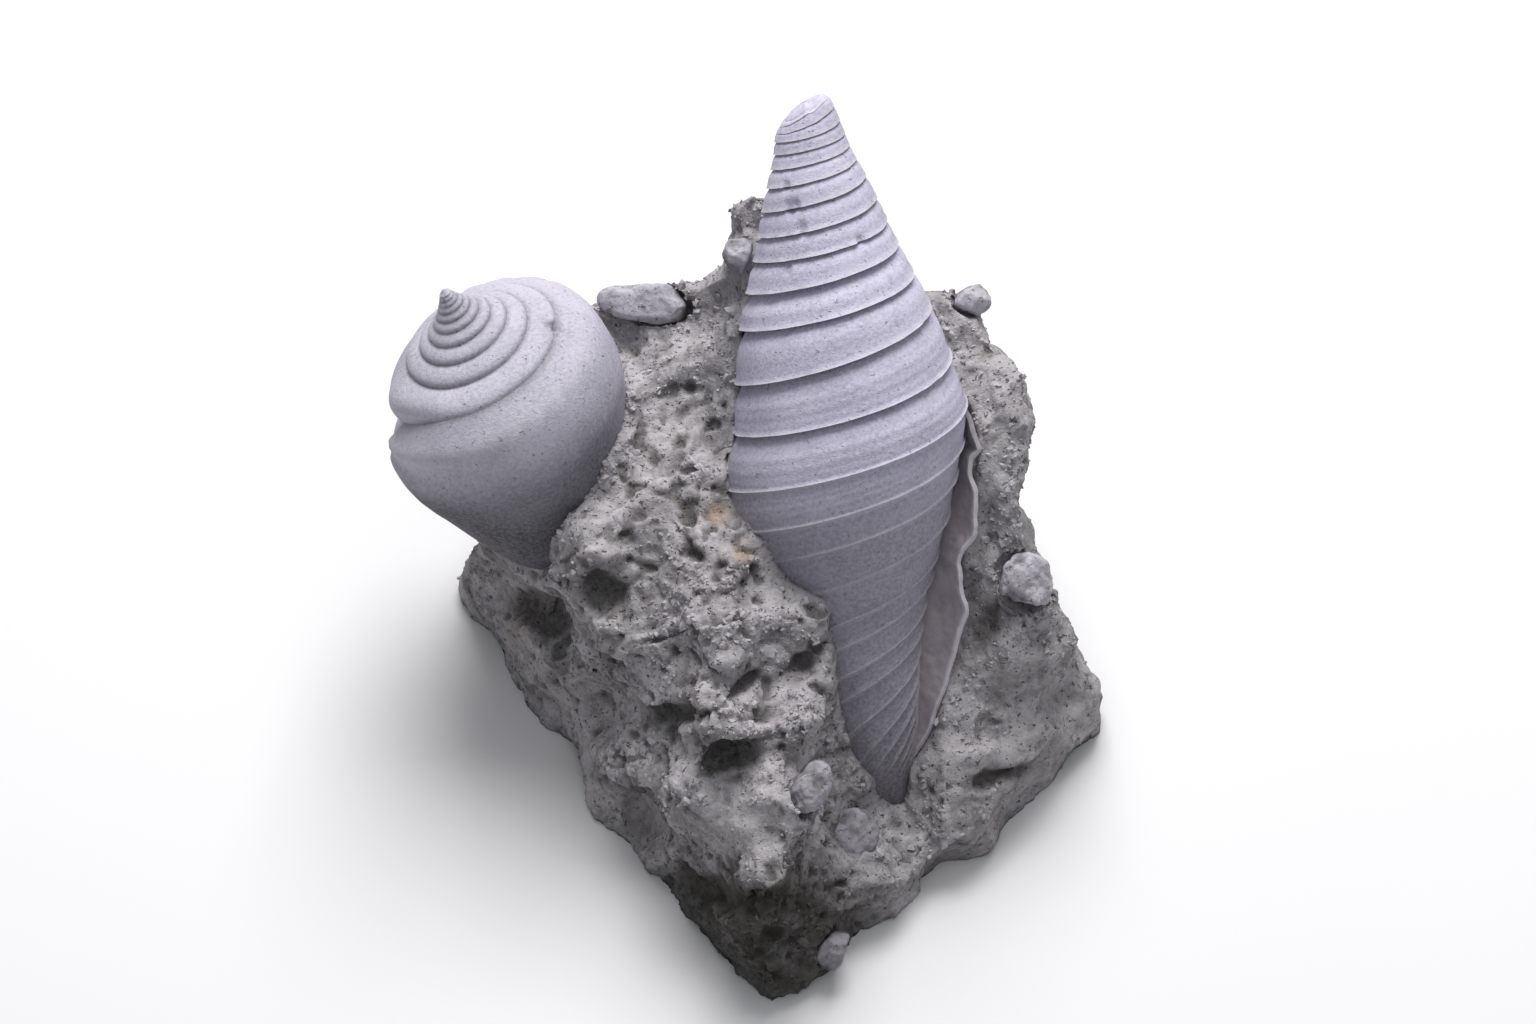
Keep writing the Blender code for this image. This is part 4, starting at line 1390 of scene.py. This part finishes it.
@dataclass
class LooseGrit:
    """Angular grains and shell crumbs cemented all over the stone's open face."""

    block: bpy.types.Object
    face: CarryingFace
    name: str
    count: int
    smallest: float
    largest: float
    seed: int

    def build(self, finish: bpy.types.Material) -> bpy.types.Object:
        """Models and dresses the grains.

        Args:
            finish: The grains' material.

        Returns:
            The piece.
        """
        deselect_all()
        bpy.ops.mesh.primitive_ico_sphere_add(subdivisions=1, radius=1.0)
        seed_grain = bpy.context.object
        corners = points_of(seed_grain) * MM
        faces = np.array([tuple(face.vertices) for face in seed_grain.data.polygons])
        random = np.random.default_rng(self.seed)
        points, normals = points_of(self.block), normals_of(self.block)
        spots = self.face.read(points)
        front = smooth_step(normals @ OUT_OF_FACE, -0.1, 0.5)
        front *= 0.25 + smooth_step(spots[:, 2], -12.0, 2.0)
        sandy = SANDY_FACE.share(spots)
        weight = front * (1.0 - 0.8 * sandy) * (points[:, 2] > 3.0) + 0.05
        hollow = np.empty(len(points), np.float32)
        self.block.data.attributes["hollow"].data.foreach_get("value", hollow)
        weight *= 1.0 - 0.95 * np.clip(hollow * 1.6, 0.0, 1.0)
        weight *= 0.15 + np.clip(layered_noise(points, 6.0, 5, 2) * 1.6 + 0.5, 0, 1)
        chosen = random.choice(len(points), self.count, replace=False, p=weight / weight.sum())
        sizes = self.smallest + (self.largest - self.smallest) * random.random(self.count) ** 2.6
        stretch = 0.65 + 0.7 * random.random((self.count, 1, 3))
        jitter = 1.0 + 0.28 * random.standard_normal((self.count, len(corners), 1)).clip(-1.6, 1.6)
        turns = np.stack([np.array(Euler(random.random(3) * 2.0 * math.pi).to_matrix())
                          for _ in range(self.count)])
        local = corners[None] * stretch * jitter * sizes[:, None, None]
        local = np.einsum("nij,nkj->nki", turns, local)
        centres = points[chosen] - normals[chosen] * (0.25 * sizes)[:, None]
        cloud = (local + centres[:, None]).reshape(-1, 3)
        cloud[:, 2] = np.maximum(cloud[:, 2], 0.02)
        joined = (faces[None] + (np.arange(self.count) * len(corners))[:, None, None]).reshape(-1, 3)
        mesh = seed_grain.data
        mesh.clear_geometry()
        mesh.from_pydata((cloud * MM).tolist(), [], joined.tolist())
        seed_grain.name = mesh.name = self.name
        tone = np.repeat(random.random(self.count), len(corners))
        # the grains take the painted shade of the stone under them
        painted_stone_shade = np.empty(len(points), np.float32)
        self.block.data.attributes["painted_stone_shade"].data.foreach_get("value", painted_stone_shade)
        set_attribute(seed_grain, "hollow", 0.28 * smooth_step(tone, 0.62, 0.95))
        set_attribute(seed_grain, "stain", np.zeros(len(tone)))
        set_attribute(seed_grain, "painted_stone_shade", np.repeat(painted_stone_shade[chosen], len(corners)) * 0.95)
        set_attribute(seed_grain, "smooth", np.full(len(tone), 0.3))
        return finish_piece(seed_grain, Slot.STONE, finish, sharp=35.0)


# ---------------------------------------------------------------- loose bits


@dataclass
class CementedBit:
    """A worn bit of shell or stone that stands for one of the design's fragments."""

    node: str
    name: str
    bevel: float = 0.25
    roughness: float = 0.35
    flat: float = 0.0  # how much its outer face is levelled, 0 to 1
    painted_stone_shade: float = 0.0  # how much painted shade darkens the whole bit
    facets: int = 9
    seed: int = 1

    def chip_faces(self, points: np.ndarray, centre: np.ndarray) -> np.ndarray:
        """Breaks flat faces off the bit.

        Args:
            points: The bit's points, mm.
            centre: Its middle.

        Returns:
            The points, levelled on each broken face.
        """
        random = np.random.default_rng(self.seed)
        local = points - centre
        for _ in range(self.facets):
            normal = random.normal(size=3)
            normal /= np.linalg.norm(normal)
            reach = local @ normal
            limit = reach.max() * random.uniform(0.66, 0.86)
            local = local - np.maximum(reach - limit, 0.0)[:, None] * normal
        return local + centre

    def build(self, finish: bpy.types.Material) -> bpy.types.Object:
        """Models and dresses the bit.

        Args:
            finish: The bit's material.

        Returns:
            The piece.
        """
        low, high = (np.array(corner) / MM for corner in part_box(self.node))
        centre = (low + high) / 2.0
        piece = copy_of_node(self.node, self.name)
        apply_modifier(piece, "SUBSURF", levels=4, render_levels=4)
        points = self.chip_faces(points_of(piece), centre)
        set_points(piece, points)
        normals = normals_of(piece)
        spots = (points - centre) @ np.stack((ACROSS, UP_SLOPE, OUT_OF_FACE)).T
        grown = points + normals * 0.3
        wear = self.roughness * (layered_noise(points + self.seed * 13.0, 2.4, self.seed, 3)
                                 + 0.22 * layered_noise(points, 0.9, self.seed + 5, 2))
        grown += normals * wear[:, None]
        top = np.maximum(spots[:, 2] - 0.55 * spots[:, 2].max(), 0.0)
        grown -= OUT_OF_FACE * (self.flat * top)[:, None]
        set_points(piece, grown)
        # painted shade in the dents
        set_attribute(piece, "hollow", np.clip(-wear * 2.0, 0.0, 0.6))
        set_attribute(piece, "stain", np.zeros(len(points)))
        # painted shade on the bit's back, turned into the stone
        under = smooth_step(-spots[:, 2], -0.8, 1.2)
        set_attribute(piece, "painted_stone_shade", np.clip(self.painted_stone_shade + under * 0.6, 0, 0.9))
        set_attribute(piece, "smooth", np.full(len(points), 0.6))
        return finish_piece(piece, Slot.BITS, finish, self.node)


# three of the bits are darkened whole with painted shade
BITS = (
    CementedBit("shell_plate_fragment", "pale_shell_plate", flat=0.6, roughness=0.35, seed=3),
    CementedBit("stone_chip_right", "right_chip", roughness=0.6, flat=0.5, seed=5),
    CementedBit("shell_tooth_upper", "upper_tooth", roughness=0.55, painted_stone_shade=0.35, seed=7),
    CementedBit("shell_tooth_lower", "lower_tooth", roughness=0.45, flat=0.4, painted_stone_shade=0.3, seed=9),
    CementedBit("shell_chip_near_corner", "corner_chip", roughness=0.45, painted_stone_shade=0.4, seed=11),
    CementedBit("shell_knob_far_right", "far_right_knob", roughness=0.35, seed=13),
    CementedBit("shell_flake_by_spire", "spire_flake", roughness=0.5, seed=15),
)


# ---------------------------------------------------------------- the studio


@dataclass
class Studio:
    """The floor, the lights and the camera."""

    face: CarryingFace
    aim: tuple[float, float, float] = (-0.7, 68.1, 0.0)
    distance: float = 600.0
    lens: float = 98.9

    def floor(self) -> None:
        """Adds the flat pale floor."""
        deselect_all()
        bpy.ops.mesh.primitive_plane_add(size=8.0, location=(0.0, 0.0, 0.0))
        floor = bpy.context.object
        floor.name = floor.data.name = "pale_floor"
        floor.data.materials.append(PaleFloor().make())

    def lamp(self, name: str, towards: tuple[float, float, float], distance: float, size: float,
             watts: float, colour: tuple[float, float, float]) -> None:
        """Adds one soft lamp that looks at the block.

        Args:
            name: The lamp's name.
            towards: The direction from the block to the lamp.
            distance: How far off it is, m.
            size: The side of its square face, m.
            watts: Its power.
            colour: Its colour.
        """
        data = bpy.data.lights.new(name, "AREA")
        data.size, data.energy, data.color = size, watts, colour
        lamp = bpy.data.objects.new(name, data)
        bpy.context.scene.collection.objects.link(lamp)
        direction = Vector(towards).normalized()
        lamp.location = Vector((0.0, 0.0, 0.04)) + direction * distance
        lamp.rotation_euler = direction.to_track_quat("Z", "Y").to_euler()

    def build(self) -> None:
        """Sets up the studio."""
        self.floor()
        self.lamp("far_softbox", (0.02, 0.50, 0.86), 0.75, 0.45, 6.5, (1.0, 0.985, 0.975))
        self.lamp("overhead_fill", (0.1, -0.1, 1.0), 1.1, 1.2, 3.6, (0.97, 0.98, 1.0))
        world = bpy.data.worlds.new("soft_room")
        world.use_nodes = True
        background = world.node_tree.nodes["Background"]
        background.inputs["Color"].default_value = (0.93, 0.95, 1.0, 1.0)
        background.inputs["Strength"].default_value = 0.16
        bpy.context.scene.world = world
        bpy.context.scene.view_settings.view_transform = "Standard"
        camera_data = bpy.data.cameras.new("camera")
        camera_data.lens, camera_data.sensor_width = self.lens, 36.0
        camera_data.clip_start, camera_data.clip_end = 0.05, 20.0
        camera = bpy.data.objects.new("camera", camera_data)
        bpy.context.scene.collection.objects.link(camera)
        across, up, _ = self.aim
        camera.location = Vector(self.face.place(np.array((across, up, self.distance))) * MM)
        camera.rotation_euler = (FACE_LEAN, 0.0, 0.0)
        bpy.context.scene.camera = camera


def main() -> None:
    """Builds the object and its studio."""
    logging.basicConfig(level=logging.INFO, format="%(name)s: %(message)s")
    face = CarryingFace.of_block("limestone_matrix")
    chalk = ChalkyShell("chalky_spindle").make()
    # the moon snail's very dark colour is mostly for its painted shade
    moon = ChalkyShell("chalky_moon_snail", pale=(0.58, 0.56, 0.66), shade=(0.45, 0.435, 0.51),
                       dust_and_shade=(0.045, 0.043, 0.042)).make()
    bits = GritLimestone("weathered_bits", pale=(0.54, 0.52, 0.58), mid=(0.38, 0.365, 0.405),
                         relief=0.3).make()
    stone = GritLimestone("grit_limestone").make()
    grit = GritLimestone("pale_grit", pale=(0.50, 0.48, 0.51), mid=(0.36, 0.345, 0.36),
                         relief=0.2).make()

    spindle = SpindleShell(face)
    spindle.build(chalk)
    SpindleLip(spindle).build(MauveInside("lip_inside").make())
    MoonSnailShell(face).build(moon)
    block = LimestoneBlock(face).build(stone)
    LooseGrit(block, face, "fine_grit", count=7200, smallest=0.14, largest=0.42, seed=11).build(grit)
    LooseGrit(block, face, "coarse_grit", count=900, smallest=0.35, largest=0.8, seed=12).build(grit)
    for bit in BITS:
        bit.build(bits)
    Studio(face).build()


if __name__ == "__main__":
    main()
